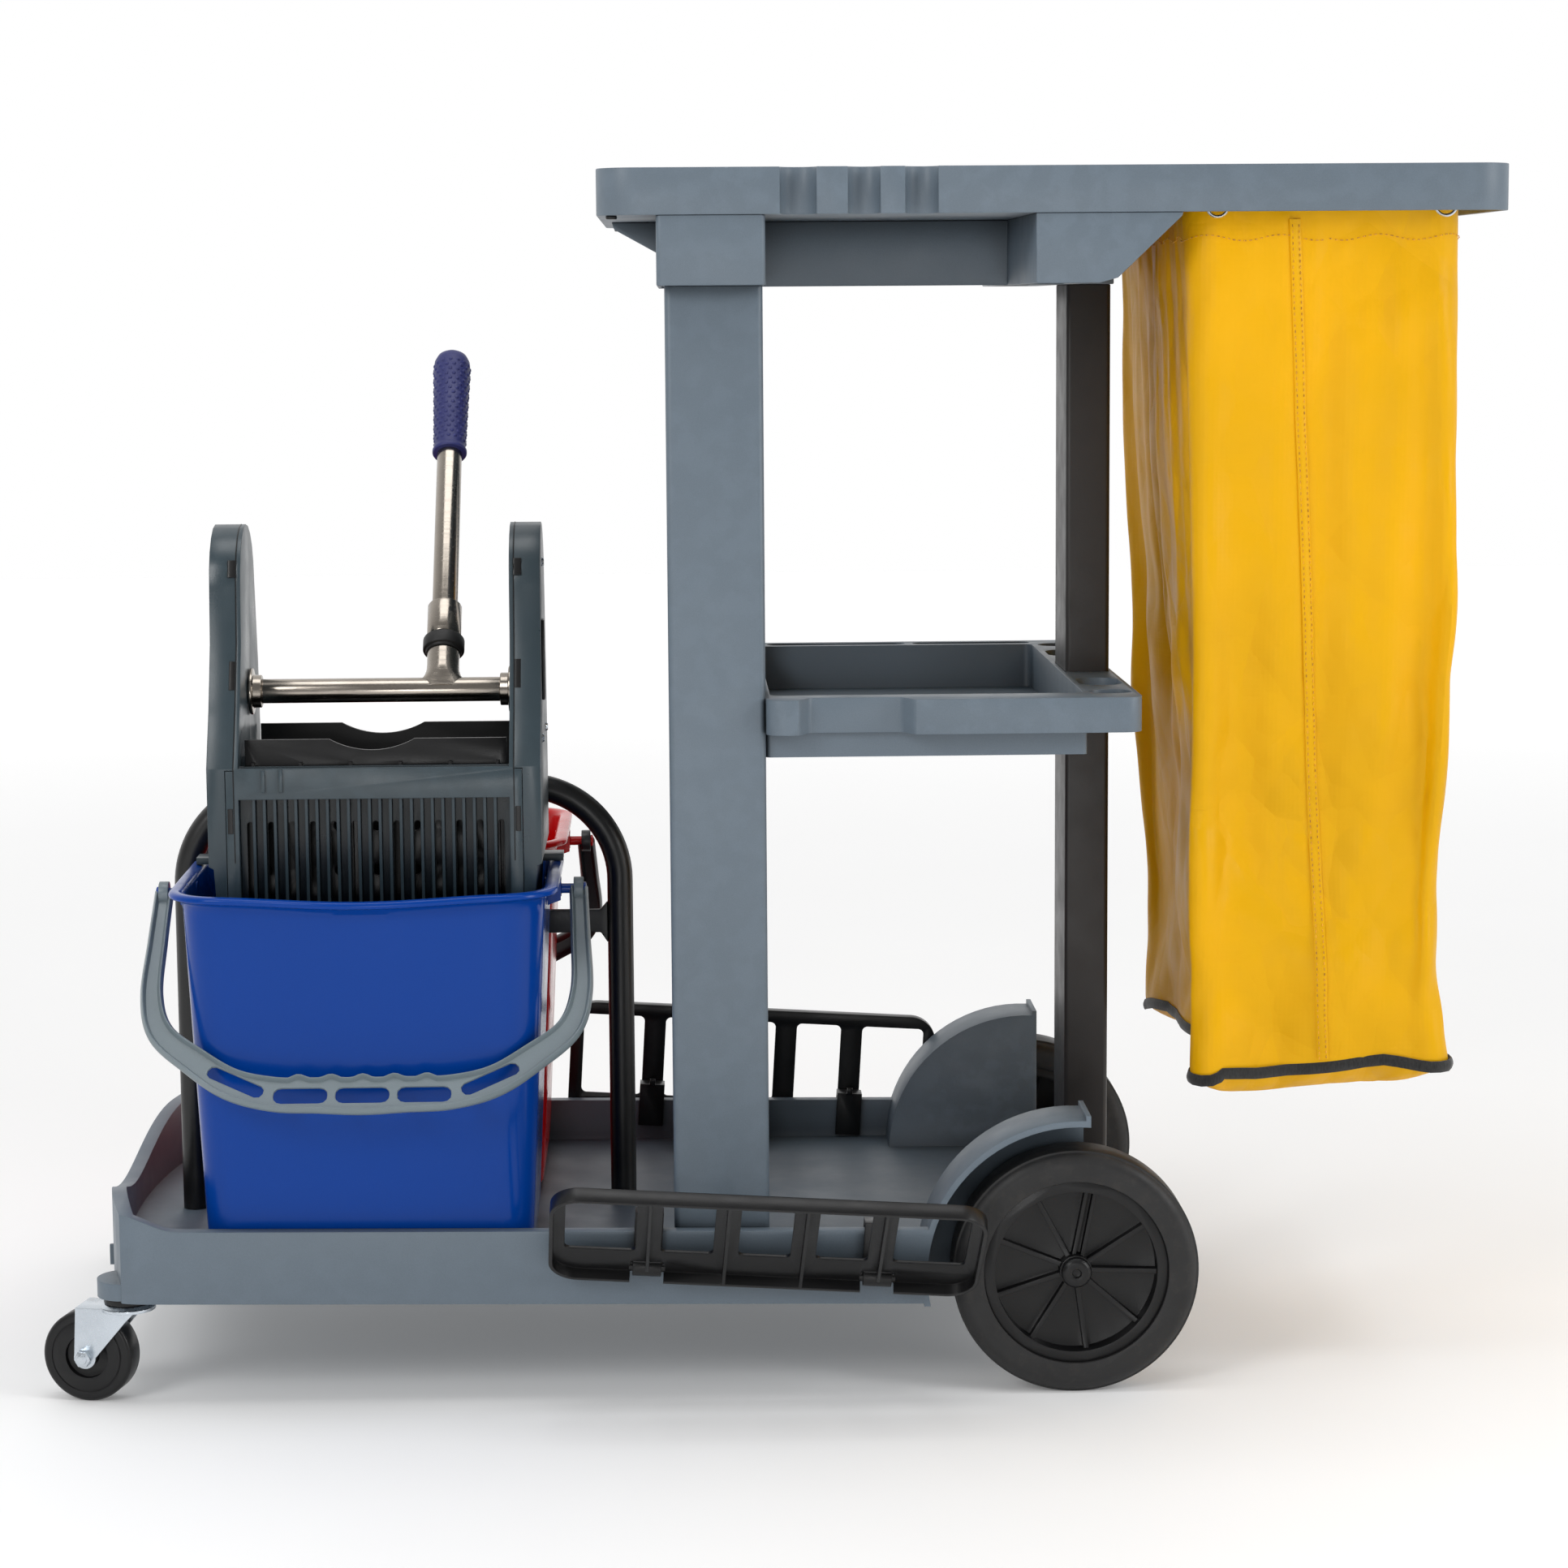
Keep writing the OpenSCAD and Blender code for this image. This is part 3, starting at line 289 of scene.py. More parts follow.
def smooth_group():
    """A geometry node group that shades smooth everywhere but across edges sharper than SHARP_ANGLE."""
    group = bpy.data.node_groups.new("smooth_by_angle", "GeometryNodeTree")
    group.interface.new_socket("Geometry", in_out="INPUT", socket_type="NodeSocketGeometry")
    group.interface.new_socket("Geometry", in_out="OUTPUT", socket_type="NodeSocketGeometry")
    nodes = group.nodes
    start, end = nodes.new("NodeGroupInput"), nodes.new("NodeGroupOutput")
    faces = nodes.new("GeometryNodeSetShadeSmooth")
    faces.domain = "FACE"
    edges = nodes.new("GeometryNodeSetShadeSmooth")
    edges.domain = "EDGE"
    angle = nodes.new("GeometryNodeInputMeshEdgeAngle")
    compare = nodes.new("FunctionNodeCompare")
    compare.data_type = "FLOAT"
    compare.operation = "LESS_THAN"
    compare.inputs[1].default_value = SHARP_ANGLE
    group.links.new(angle.outputs["Unsigned Angle"], compare.inputs[0])
    group.links.new(start.outputs[0], faces.inputs["Geometry"])
    group.links.new(faces.outputs["Geometry"], edges.inputs["Geometry"])
    group.links.new(compare.outputs["Result"], edges.inputs["Shade Smooth"])
    group.links.new(edges.outputs["Geometry"], end.inputs[0])
    return group


SMOOTH = smooth_group()


def shade(obj):
    modifier = obj.modifiers.new("Smooth", "NODES")
    modifier.node_group = SMOOTH


def soften(obj, width):
    """Rounds a CAD node's sharp edges: welds its triangles, merges flat ones, then bevels."""
    weld = obj.modifiers.new("Weld", "WELD")
    weld.merge_threshold = 0.00002
    flat = obj.modifiers.new("Flat", "DECIMATE")
    flat.decimate_type = "DISSOLVE"
    flat.angle_limit = math.radians(0.3)
    if width:
        bevel = obj.modifiers.new("Bevel", "BEVEL")
        bevel.width = width
        bevel.segments = 2
        bevel.limit_method = "ANGLE"
        bevel.angle_limit = SHARP_ANGLE
        bevel.use_clamp_overlap = True
    shade(obj)


def piece(name, verts, faces, slot, body, replaces=()):
    mesh = bpy.data.meshes.new(name)
    mesh.from_pydata([tuple(v) for v in verts], [], faces)
    mesh.validate()
    return finish_piece(bpy.data.objects.new(name, mesh), slot, body, replaces)


def finish_piece(obj, slot, body, replaces=(), material=None):
    if obj.name not in scene.collection.objects:
        scene.collection.objects.link(obj)
    obj.data.materials.clear()
    obj.data.materials.append(material or MATERIALS[slot])
    shade(obj)
    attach(obj, body)
    if replaces:
        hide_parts(*replaces)
    return obj


def grid_faces(rows, count, closed=True):
    """Quads between rows of points; each row is a closed loop or an open line."""
    last = count if closed else count - 1
    return [(r * count + i, r * count + (i + 1) % count,
             (r + 1) * count + (i + 1) % count, (r + 1) * count + i)
            for r in range(rows - 1) for i in range(last)]


def loft(rings, cap_start=True, cap_end=True):
    count = len(rings[0])
    verts = [p for ring in rings for p in ring]
    faces = grid_faces(len(rings), count)
    if cap_start:
        faces.append(tuple(range(count))[::-1])
    if cap_end:
        faces.append(tuple(range((len(rings) - 1) * count, len(rings) * count)))
    return verts, faces


def resample(points, count):
    """count points spaced evenly round a closed line whose last point repeats its first."""
    points = np.array(points, float)
    lengths = np.concatenate([[0], np.cumsum(np.linalg.norm(np.diff(points, axis=0), axis=1))])
    at = np.linspace(0, lengths[-1], count, endpoint=False)
    return np.stack([np.interp(at, lengths, points[:, k]) for k in range(points.shape[1])], axis=1)


def rounded_loop(half_x, half_y, radius, count):
    """Points round a rectangle with round corners, from the middle of its -Y side."""
    dense = [(0.0, -half_y)]
    corners = ((half_x - radius, -half_y + radius, -90), (half_x - radius, half_y - radius, 0),
               (-half_x + radius, half_y - radius, 90), (-half_x + radius, -half_y + radius, 180))
    for cx, cy, start in corners:
        for turn in range(0, 91, 6):
            a = math.radians(start + turn)
            dense.append((cx + radius * math.cos(a), cy + radius * math.sin(a)))
    dense.append((0.0, -half_y))
    return resample(dense, count)


def smooth_line(points, step=8):
    """A Catmull-Rom curve through the points, which may carry extra values after X and Y."""
    pts = [np.array(p, float) for p in points]
    pts = [2 * pts[0] - pts[1]] + pts + [2 * pts[-1] - pts[-2]]
    line = []
    for a, b, c, d in zip(pts, pts[1:], pts[2:], pts[3:]):
        for k in range(step):
            t = k / step
            line.append(0.5 * (2 * b + (c - a) * t + (2 * a - 5 * b + 4 * c - d) * t * t
                               + (3 * b - a - 3 * c + d) * t ** 3))
    return line + [pts[-2]]


def tangents_of(path):
    """The unit direction of an open line at each of its points."""
    last = len(path) - 1
    return [(path[min(i + 1, last)] - path[max(i - 1, 0)]).normalized() for i in range(last + 1)]


def sweep(path, side, up, half_w, half_h, corner=0.35, closed=False):
    """A bar along path whose section is a rounded rectangle; side and up are unit vectors at each point."""
    section = []
    for k in range(16):
        a = 2 * math.pi * (k + 0.5) / 16
        c, s = math.cos(a), math.sin(a)
        scale = (abs(c) ** (2 / corner / 4) + abs(s) ** (2 / corner / 4)) ** (-corner * 2)
        section.append((c * scale, s * scale))
    rings = [[p + u * (x * half_w) + v * (y * half_h) for x, y in section] for p, u, v in zip(path, side, up)]
    if closed:
        verts, faces = loft(rings, False, False)
        n = len(section)
        base = (len(rings) - 1) * n
        faces += [(base + i, base + (i + 1) % n, (i + 1) % n, i) for i in range(n)]
        return verts, faces
    return loft(rings)


def plate(loops, thickness, bevel, matrix):
    """A flat plate with round edges: the first loop is its outline, the rest are holes. Drawn in X and Y."""
    curve = bpy.data.curves.new("plate", "CURVE")
    curve.dimensions = "2D"
    curve.fill_mode = "BOTH"
    curve.extrude = thickness / 2 - bevel
    curve.bevel_depth = bevel
    curve.bevel_resolution = 2
    curve.offset = -bevel
    for loop in loops:
        spline = curve.splines.new("POLY")
        spline.points.add(len(loop) - 1)
        for point, (x, y) in zip(spline.points, loop):
            point.co = (x, y, 0, 1)
        spline.use_cyclic_u = True
    obj = bpy.data.objects.new("plate", curve)
    scene.collection.objects.link(obj)
    dg = bpy.context.evaluated_depsgraph_get()
    mesh = bpy.data.meshes.new_from_object(obj.evaluated_get(dg))
    bpy.data.objects.remove(obj)
    mesh.transform(matrix)
    verts = [v.co.copy() for v in mesh.vertices]
    faces = [tuple(p.vertices) for p in mesh.polygons]
    bpy.data.meshes.remove(mesh)
    return verts, faces


def joined(parts):
    verts, faces = [], []
    for more_verts, more_faces in parts:
        faces += [tuple(i + len(verts) for i in f) for f in more_faces]
        verts += list(more_verts)
    return verts, faces


def turned(profile, origin, axis, count=48):
    """A surface of revolution: profile is (distance along axis, radius), end to end."""
    axis = axis.normalized()
    side = axis.orthogonal().normalized()
    other = axis.cross(side)
    rings = []
    for along, radius in profile:
        rings.append([origin + axis * along + (side * math.cos(a) + other * math.sin(a)) * max(radius, 1e-5)
                      for a in (2 * math.pi * k / count for k in range(count))])
    return loft(rings)


def torus(centre, axis, ring_r, wire_r, count=48):
    axis = axis.normalized()
    side = axis.orthogonal().normalized()
    other = axis.cross(side)
    out = [side * math.cos(a) + other * math.sin(a) for a in (2 * math.pi * k / count for k in range(count))]
    path = [centre + d * ring_r for d in out]
    return sweep(path, out, [axis] * count, wire_r, wire_r, corner=0.5, closed=True)


# ---------- carried-over CAD nodes ----------

NO_BEVEL = {"hoop", "cover_screws", "bag", "bag_binding", "bucket_blue", "bucket_red"}
FINE_BEVEL = {"wringer_body": 0.0006, "press_plate_front": 0.0006, "press_plate_back": 0.0006,
              "side_rack_near": 0.0007, "side_rack_far": 0.0007, "rack_clips_near": 0.0006,
              "rack_clips_far": 0.0006, "rim_near": 0.0006, "rim_far": 0.0006, "wringer_latches": 0.0004,
              "caster_fork_near": 0.0005, "caster_fork_far": 0.0005, "caster_bolt_near": 0.0005,
              "caster_bolt_far": 0.0005, "shaft_cams": 0.0005, "top_tray": 0.0014, "deck": 0.0015}


def carry_over():
    slots = {s["node"]: s["material_slot"] for s in frame["record"]["subparts"]}
    for name, obj in frame["nodes"].items():
        obj.data.materials.clear()
        obj.data.materials.append(MATERIALS[slots[name]])
        for polygon in obj.data.polygons:
            polygon.use_smooth = True
        soften(obj, 0 if name in NO_BEVEL else FINE_BEVEL.get(name, 0.001))


carry_over()


# ---------- fabric bag ----------

BAG_COUNT = 156
BAG_ROWS = 80
BAG_CORNER = 26 * MM
BAG_FLARE = 32 * MM
BAG_SAG = 20 * MM
BOTTOM_RINGS = 9
SIM_FRAMES = 36
CLOTH_CAP = 30 * MM
HEM_Z = 0.928


def bag_rest():
    low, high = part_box("bag")
    rows = []
    for r in range(BAG_ROWS + 1):
        t = r / BAG_ROWS
        x1 = high.x - BAG_FLARE * (1 - t)
        centre = (low.x + x1) / 2
        half_y = (high.y - low.y) / 2 - 4 * MM * (1 - t)
        loop = rounded_loop((x1 - low.x) / 2, half_y, BAG_CORNER, BAG_COUNT)
        for x, y in loop:
            z = high.z + (low.z - high.z) * t
            rows.append(Vector((centre + x, MID_Y + y, z)))
    return rows


def bag_mesh(points):
    """The bag's wall, and a bottom of rings that close towards its middle line."""
    verts = list(points)
    faces = grid_faces(BAG_ROWS + 1, BAG_COUNT)
    edge = [verts[BAG_ROWS * BAG_COUNT + i] for i in range(BAG_COUNT)]
    centre = sum(edge, Vector()) / BAG_COUNT
    for k in range(1, BOTTOM_RINGS):
        share = 1 - k / BOTTOM_RINGS
        for p in edge:
            verts.append(Vector((centre.x + (p.x - centre.x) * share,
                                 centre.y + (p.y - centre.y) * (0.25 + 0.75 * share), p.z)))
    start = BAG_ROWS * BAG_COUNT
    for k in range(BOTTOM_RINGS - 1):
        a = start + k * BAG_COUNT
        b = start + (k + 1) * BAG_COUNT
        faces += [(a + i, a + (i + 1) % BAG_COUNT, b + (i + 1) % BAG_COUNT, b + i) for i in range(BAG_COUNT)]
    last = start + (BOTTOM_RINGS - 1) * BAG_COUNT
    faces.append(tuple(last + i for i in range(BAG_COUNT)))
    return verts, faces


def simulate_bag(obj):
    pins = obj.vertex_groups.new(name="pins")
    for i in range(len(obj.data.vertices)):
        row = i // BAG_COUNT
        weight = 1.0 if row <= 1 else max(0.0, 0.5 - 0.12 * row)
        pins.add([i], weight, "REPLACE")
    cloth = obj.modifiers.new("Cloth", "CLOTH")
    settings = cloth.settings
    settings.quality = 7
    settings.mass = 0.08
    settings.tension_stiffness = 25
    settings.compression_stiffness = 12
    settings.shear_stiffness = 6
    settings.bending_stiffness = 0.35
    settings.tension_damping = 12
    settings.compression_damping = 12
    settings.shear_damping = 8
    settings.air_damping = 3
    settings.vertex_group_mass = "pins"
    settings.shrink_min = -0.022
    cloth.collision_settings.use_collision = False
    cloth.collision_settings.use_self_collision = False
    cloth.point_cache.frame_start = 1
    cloth.point_cache.frame_end = SIM_FRAMES
    for f in range(1, SIM_FRAMES + 1):
        scene.frame_set(f)
    dg = bpy.context.evaluated_depsgraph_get()
    done = bpy.data.meshes.new_from_object(obj.evaluated_get(dg))
    points = [v.co.copy() for v in done.vertices]
    obj.modifiers.clear()
    bpy.data.meshes.remove(done)
    scene.frame_set(1)
    return points


def crumpled(p, fall):
    """Height in metres of the folds: round dents that meet in straight creases, deeper towards the bottom."""
    deep = 0.35 + 0.65 * min(1.0, max(0.0, (fall - 0.3) / 0.5))
    patch = 0.6 + 0.8 * noise.noise(p * 5 + Vector((3, 1, 7)))
    large = noise.voronoi(Vector((p.x, p.y, p.z * 0.7)) * 7.0)[0][0]
    small = noise.voronoi(Vector((p.x, p.y, p.z * 0.8)) * 17.0)[0][0]
    return ((0.33 - large) * 0.040 + (0.25 - small) * 0.015) * deep * max(0.0, patch)


def build_bag():
    low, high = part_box("bag")
    rest = bag_rest()
    verts, faces = bag_mesh(rest)
    start = [p + Vector((noise.noise(p * 8), noise.noise(p * 8 + Vector((9, 2, 4))), 0)) * 0.004
             * min(1.0, (high.z - p.z) / 0.05) for p in verts]
    mesh = bpy.data.meshes.new("bag_cloth")
    mesh.from_pydata([tuple(v) for v in start], [], faces)
    obj = bpy.data.objects.new("bag_cloth", mesh)
    scene.collection.objects.link(obj)
    moved = simulate_bag(obj)
    final = []
    for before, after in zip(verts, moved):
        step = after - before
        if step.length > CLOTH_CAP:
            step *= CLOTH_CAP / step.length
        final.append(before + step)
    centre = Vector(((low.x + high.x) / 2, MID_Y, 0))
    for i, p in enumerate(final):
        depth = min(1.0, max(0.0, (high.z - p.z) / 0.06))
        out = Vector((p.x - centre.x, p.y - centre.y, 0))
        if out.length > 1e-6:
            out.normalize()
        fall = (high.z - p.z) / (high.z - low.z)
        far = (p.y - low.y) / (high.y - low.y)
        near_end = 1 - (p.x - low.x) / (high.x - low.x)
        drop = BAG_SAG * max(0.0, fall - 0.5) * 2 * (0.35 * near_end + 0.65 * far - 0.15)
        column = i % BAG_COUNT if i < (BAG_ROWS + 1) * BAG_COUNT else 0
        pleat = math.sin(column * 1.1 + 2 * math.sin(column * 0.31))
        gather = 0.0016 * pleat * math.exp(-(high.z - p.z) / 0.10)
        final[i] = p + out * (crumpled(p, fall) + gather) * depth - Vector((0, 0, drop))
    obj.data.vertices.foreach_set("co", np.array(final, np.float32).ravel())
    obj.data.update()
    grid = np.array(final[:(BAG_ROWS + 1) * BAG_COUNT], float).reshape(BAG_ROWS + 1, BAG_COUNT, 3)
    binding = bag_binding(grid)
    trims = bag_trims(grid)
    sub = obj.modifiers.new("Sub", "SUBSURF")
    sub.levels = sub.render_levels = 1
    skin = obj.modifiers.new("Skin", "SOLIDIFY")
    skin.thickness = 0.0008
    skin.offset = 1
    finish_piece(obj, "bag_fabric", "chassis", ["bag"])


def bag_binding(grid):
    """Black bias tape folded over the bottom seam, following the cloth's lower edge."""
    loop = grid[-1]
    nxt, prev = np.roll(loop, -1, axis=0), np.roll(loop, 1, axis=0)
    path, side, up = [], [], []
    for p, a, b in zip(loop, prev, nxt):
        t = Vector(b - a).normalized()
        out = Vector((t.y, -t.x, 0)).normalized()
        path.append(Vector(p) + Vector((0, 0, 0.001)) + out * 0.0006)
        side.append(out)
        up.append(t.cross(out).normalized())
    verts, faces = sweep(path, side, up, 0.0018, 0.0052, corner=0.4, closed=True)
    return piece("bag_binding_tape", verts, faces, "black_tape", "chassis", ["bag_binding"])


def on_cloth(grid, u, v, lift):
    """A point on the bag at u columns round and v rows down, lifted off the cloth."""
    rows, count = grid.shape[:2]
    v = min(max(v, 0), rows - 1.001)
    r, c = int(v), int(math.floor(u))
    fr, fc = v - r, u - math.floor(u)
    a, b = grid[r][c % count], grid[r][(c + 1) % count]
    d, e = grid[r + 1][c % count], grid[r + 1][(c + 1) % count]
    point = (a * (1 - fc) + b * fc) * (1 - fr) + (d * (1 - fc) + e * fc) * fr
    normal = Vector(np.cross(b - a + e - d, d - a + e - b)).normalized() * -1
    return Vector(point) + normal * lift, normal


def column_at(grid, row, x):
    """The column on the near side at which the cloth crosses this X."""
    count = grid.shape[1]
    best = min(range(-count // 4, count // 4), key=lambda i: abs(grid[row][i % count][0] - x))
    a, b = grid[row][best % count][0], grid[row][(best + 1) % count][0]
    return best + (x - a) / (b - a if abs(b - a) > 1e-6 else 1)


def stitches(grid, line, name, lift=0.0006):
    """Short thread stitches along a line of (column, row) points on the cloth."""
    parts = []
    points = [on_cloth(grid, u, v, lift) for u, v in line]
    gap, length = 0.0042, 0.0028
    travelled = 0.0
    for (p, n), (q, _) in zip(points, points[1:]):
        travelled += (q - p).length
        if travelled < gap:
            continue
        travelled = 0.0
        along = (q - p).normalized()
        side = along.cross(n).normalized()
        path = [p + along * length * k for k in (0, 0.25, 0.75, 1)]
        lifts = (-0.0004, 0.0001, 0.0001, -0.0004)
        path = [c + n * d for c, d in zip(path, lifts)]
        rings = [[c + (side * math.cos(a) + n * math.sin(a)) * r for a in (k * math.pi / 3 for k in range(6))]
                 for c, r in zip(path, (0.0001, 0.00045, 0.00045, 0.0001))]
        parts.append(loft(rings))
    verts, faces = joined(parts)
    mesh = bpy.data.meshes.new(name)
    mesh.from_pydata([tuple(v) for v in verts], [], faces)
    return finish_piece(bpy.data.objects.new(name, mesh), "bag_fabric", "chassis", material=THREAD)


def bag_trims(grid):
    """The felled side seam, the hem round the mouth, and their stitches."""
    low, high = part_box("bag")
    top_x, bottom_x = low.x + 0.085, low.x + 0.123
    rows = range(2, BAG_ROWS)
    centre = [(column_at(grid, r, top_x + (bottom_x - top_x) * r / BAG_ROWS), r) for r in rows]
    perimeter = sum(np.linalg.norm(np.diff(grid[40], axis=0), axis=1))
    column = perimeter / BAG_COUNT
    half = 0.0046 / column
    strip_rings = []
    for u, r in centre:
        ring = []
        for du, lift in ((-half, -0.0005), (-half, 0.0012), (-half * 0.8, 0.0018), (half * 0.8, 0.0018),
                         (half, 0.0012), (half, -0.0005)):
            ring.append(on_cloth(grid, u + du, r, lift)[0])
        strip_rings.append(ring)
    verts, faces = loft(strip_rings)
    made = [piece("bag_seam", verts, faces, "bag_fabric", "chassis")]
    fine = [(np.interp(v, [r for _, r in centre], [u for u, _ in centre]), v)
            for v in np.linspace(2, BAG_ROWS - 1, 900)]
    for k, du in enumerate((-half * 0.62, half * 0.62)):
        line = [(u + du, v) for u, v in fine]
        made.append(stitches(grid, line, f"bag_seam_stitch_{k}", 0.0020))
    hem_row = (high.z - HEM_Z) / (high.z - low.z) * BAG_ROWS
    line = [(u, hem_row + 0.25 * math.sin(u * 0.9)) for u in np.linspace(0, BAG_COUNT, 1500)]
    made.append(stitches(grid, line, "bag_hem_stitch"))
    return made


def bag_ring_wires():
    low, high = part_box("bag_rings")
    z = (low.z + high.z) / 2
    parts = []
    for x in (low.x + 0.010, high.x - 0.010):
        for y in (low.y + 0.0012, high.y - 0.0012):
            parts.append(torus(Vector((x, y, z)), Vector((0, 1, 0.12)), 0.0082, 0.0015))
    verts, faces = joined(parts)
    piece("bag_ring_wires", verts, faces, "zinc", "chassis", ["bag_rings"])


build_bag()
bag_ring_wires()


# ---------- buckets ----------

BUCKET_HALF = (145.5 * MM, 113 * MM)
RIM_GROW = 10 * MM
DRAFT = 15 * MM
CROWN = 13 * MM
WALL = 3 * MM
PIN_DROP = 15 * MM
BAIL_HANG = math.radians(43)
RIB_FACES = [(0, 1, 2, 3), (7, 6, 5, 4), (0, 4, 5, 1), (1, 5, 6, 2), (2, 6, 7, 3), (3, 7, 4, 0)]


def bucket_ring(grow, crown, z, centre, facing, lip_z=9.0, count=200):
    hx, hy = BUCKET_HALF[0] + grow, BUCKET_HALF[1] + grow
    loop = rounded_loop(hx, hy, 0.038 + min(grow, 0.008), count)
    ring = []
    for x, y in loop:
        drop = 0.0
        if y < 0:
            share = min(1.0, abs(x) / (hx * 0.86))
            swell = (0.5 + 0.5 * math.cos(math.pi * share)) * min(1.0, -y / (hy * 0.8))
            y -= crown * swell
            drop = 0.003 * swell * crown / CROWN if z > lip_z else 0.0
        ring.append(Vector((centre.x + x, centre.y + y * facing, z - drop)))
    return ring if facing > 0 else ring[::-1]


def build_bucket(name, slot, body, facing):
    low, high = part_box(name)
    rim_inner = high.y if facing > 0 else low.y
    centre = Vector(((low.x + high.x) / 2, rim_inner - facing * (BUCKET_HALF[1] + RIM_GROW), 0))
    top, floor = high.z, low.z
    tall = top - floor

    def wall(z, inset=0.0):
        t = (z - floor) / tall
        return bucket_ring(-DRAFT * (1 - t) - inset, CROWN * t, z, centre, facing)

    rings = [bucket_ring(-0.060, 0, floor + 0.004, centre, facing),
             bucket_ring(-DRAFT - 0.020, 0, floor + 0.004, centre, facing),
             bucket_ring(-DRAFT - 0.016, 0, floor, centre, facing),
             bucket_ring(-DRAFT - 0.009, 0, floor, centre, facing)]
    rings += [wall(floor + 0.002, 0.0035), wall(floor + 0.006, 0.0008)]
    rings += [wall(floor + tall * k / 12) for k in range(1, 12)]
    rings += [wall(top - 0.020), wall(top - 0.0145)]
    lip = ((0.0008, -9.6), (0.0022, -7.6), (0.0050, -6.4), (0.0080, -5.8), (0.0096, -5.2), (0.0102, -4.2),
           (0.0102, -2.4), (0.0095, -1.1), (0.0082, -0.3), (0.0062, 0.0), (0.0035, -0.1), (0.0005, -0.8),
           (-0.0012, -2.4), (-0.0022, -5.0))
    rings += [bucket_ring(g, CROWN, top + dz * MM, centre, facing, 0.0) for g, dz in lip]
    rings += [wall(floor + tall * k / 12, WALL) for k in range(11, 0, -1)]
    rings += [wall(floor + 0.012, WALL + 0.001), wall(floor + 0.0075, WALL + 0.005),
              bucket_ring(-DRAFT - 0.020, 0, floor + 0.0065, centre, facing),
              bucket_ring(-0.060, 0, floor + 0.0075, centre, facing)]
    shell = loft(rings)
    parts = [shell]
    bail_z = top - PIN_DROP
    for end in (-1, 1):
        wall_x = end * (BUCKET_HALF[0] - 0.003)
        profile = ((0, 9.5), (4, 8.6), (6.5, 7.2), (13, 6.6), (13.6, 4.05), (31, 4.0), (32, 5.2),
                   (33.4, 5.2), (34, 4.2))
        origin = Vector((centre.x + wall_x, centre.y, bail_z))
        parts.append(turned([(a * MM, r * MM) for a, r in profile], origin, Vector((end, 0, 0)), 32))
        for tilt in (-1, 1):
            a = Vector((centre.x + end * (BUCKET_HALF[0] - 0.001), centre.y + tilt * 0.011, bail_z - 0.012))
            rib = [a, a + Vector((end * 0.011, 0, 0.004)), a + Vector((end * 0.011, 0, 0.020)),
                   a + Vector((0, 0, 0.022))]
            path = [Vector((p.x, p.y + d, p.z)) for d in (-0.001, 0.001) for p in rib]
            parts.append((path, RIB_FACES))
    verts, faces = joined(parts)
    piece(name + "_shell", verts, faces, slot, body, [name])


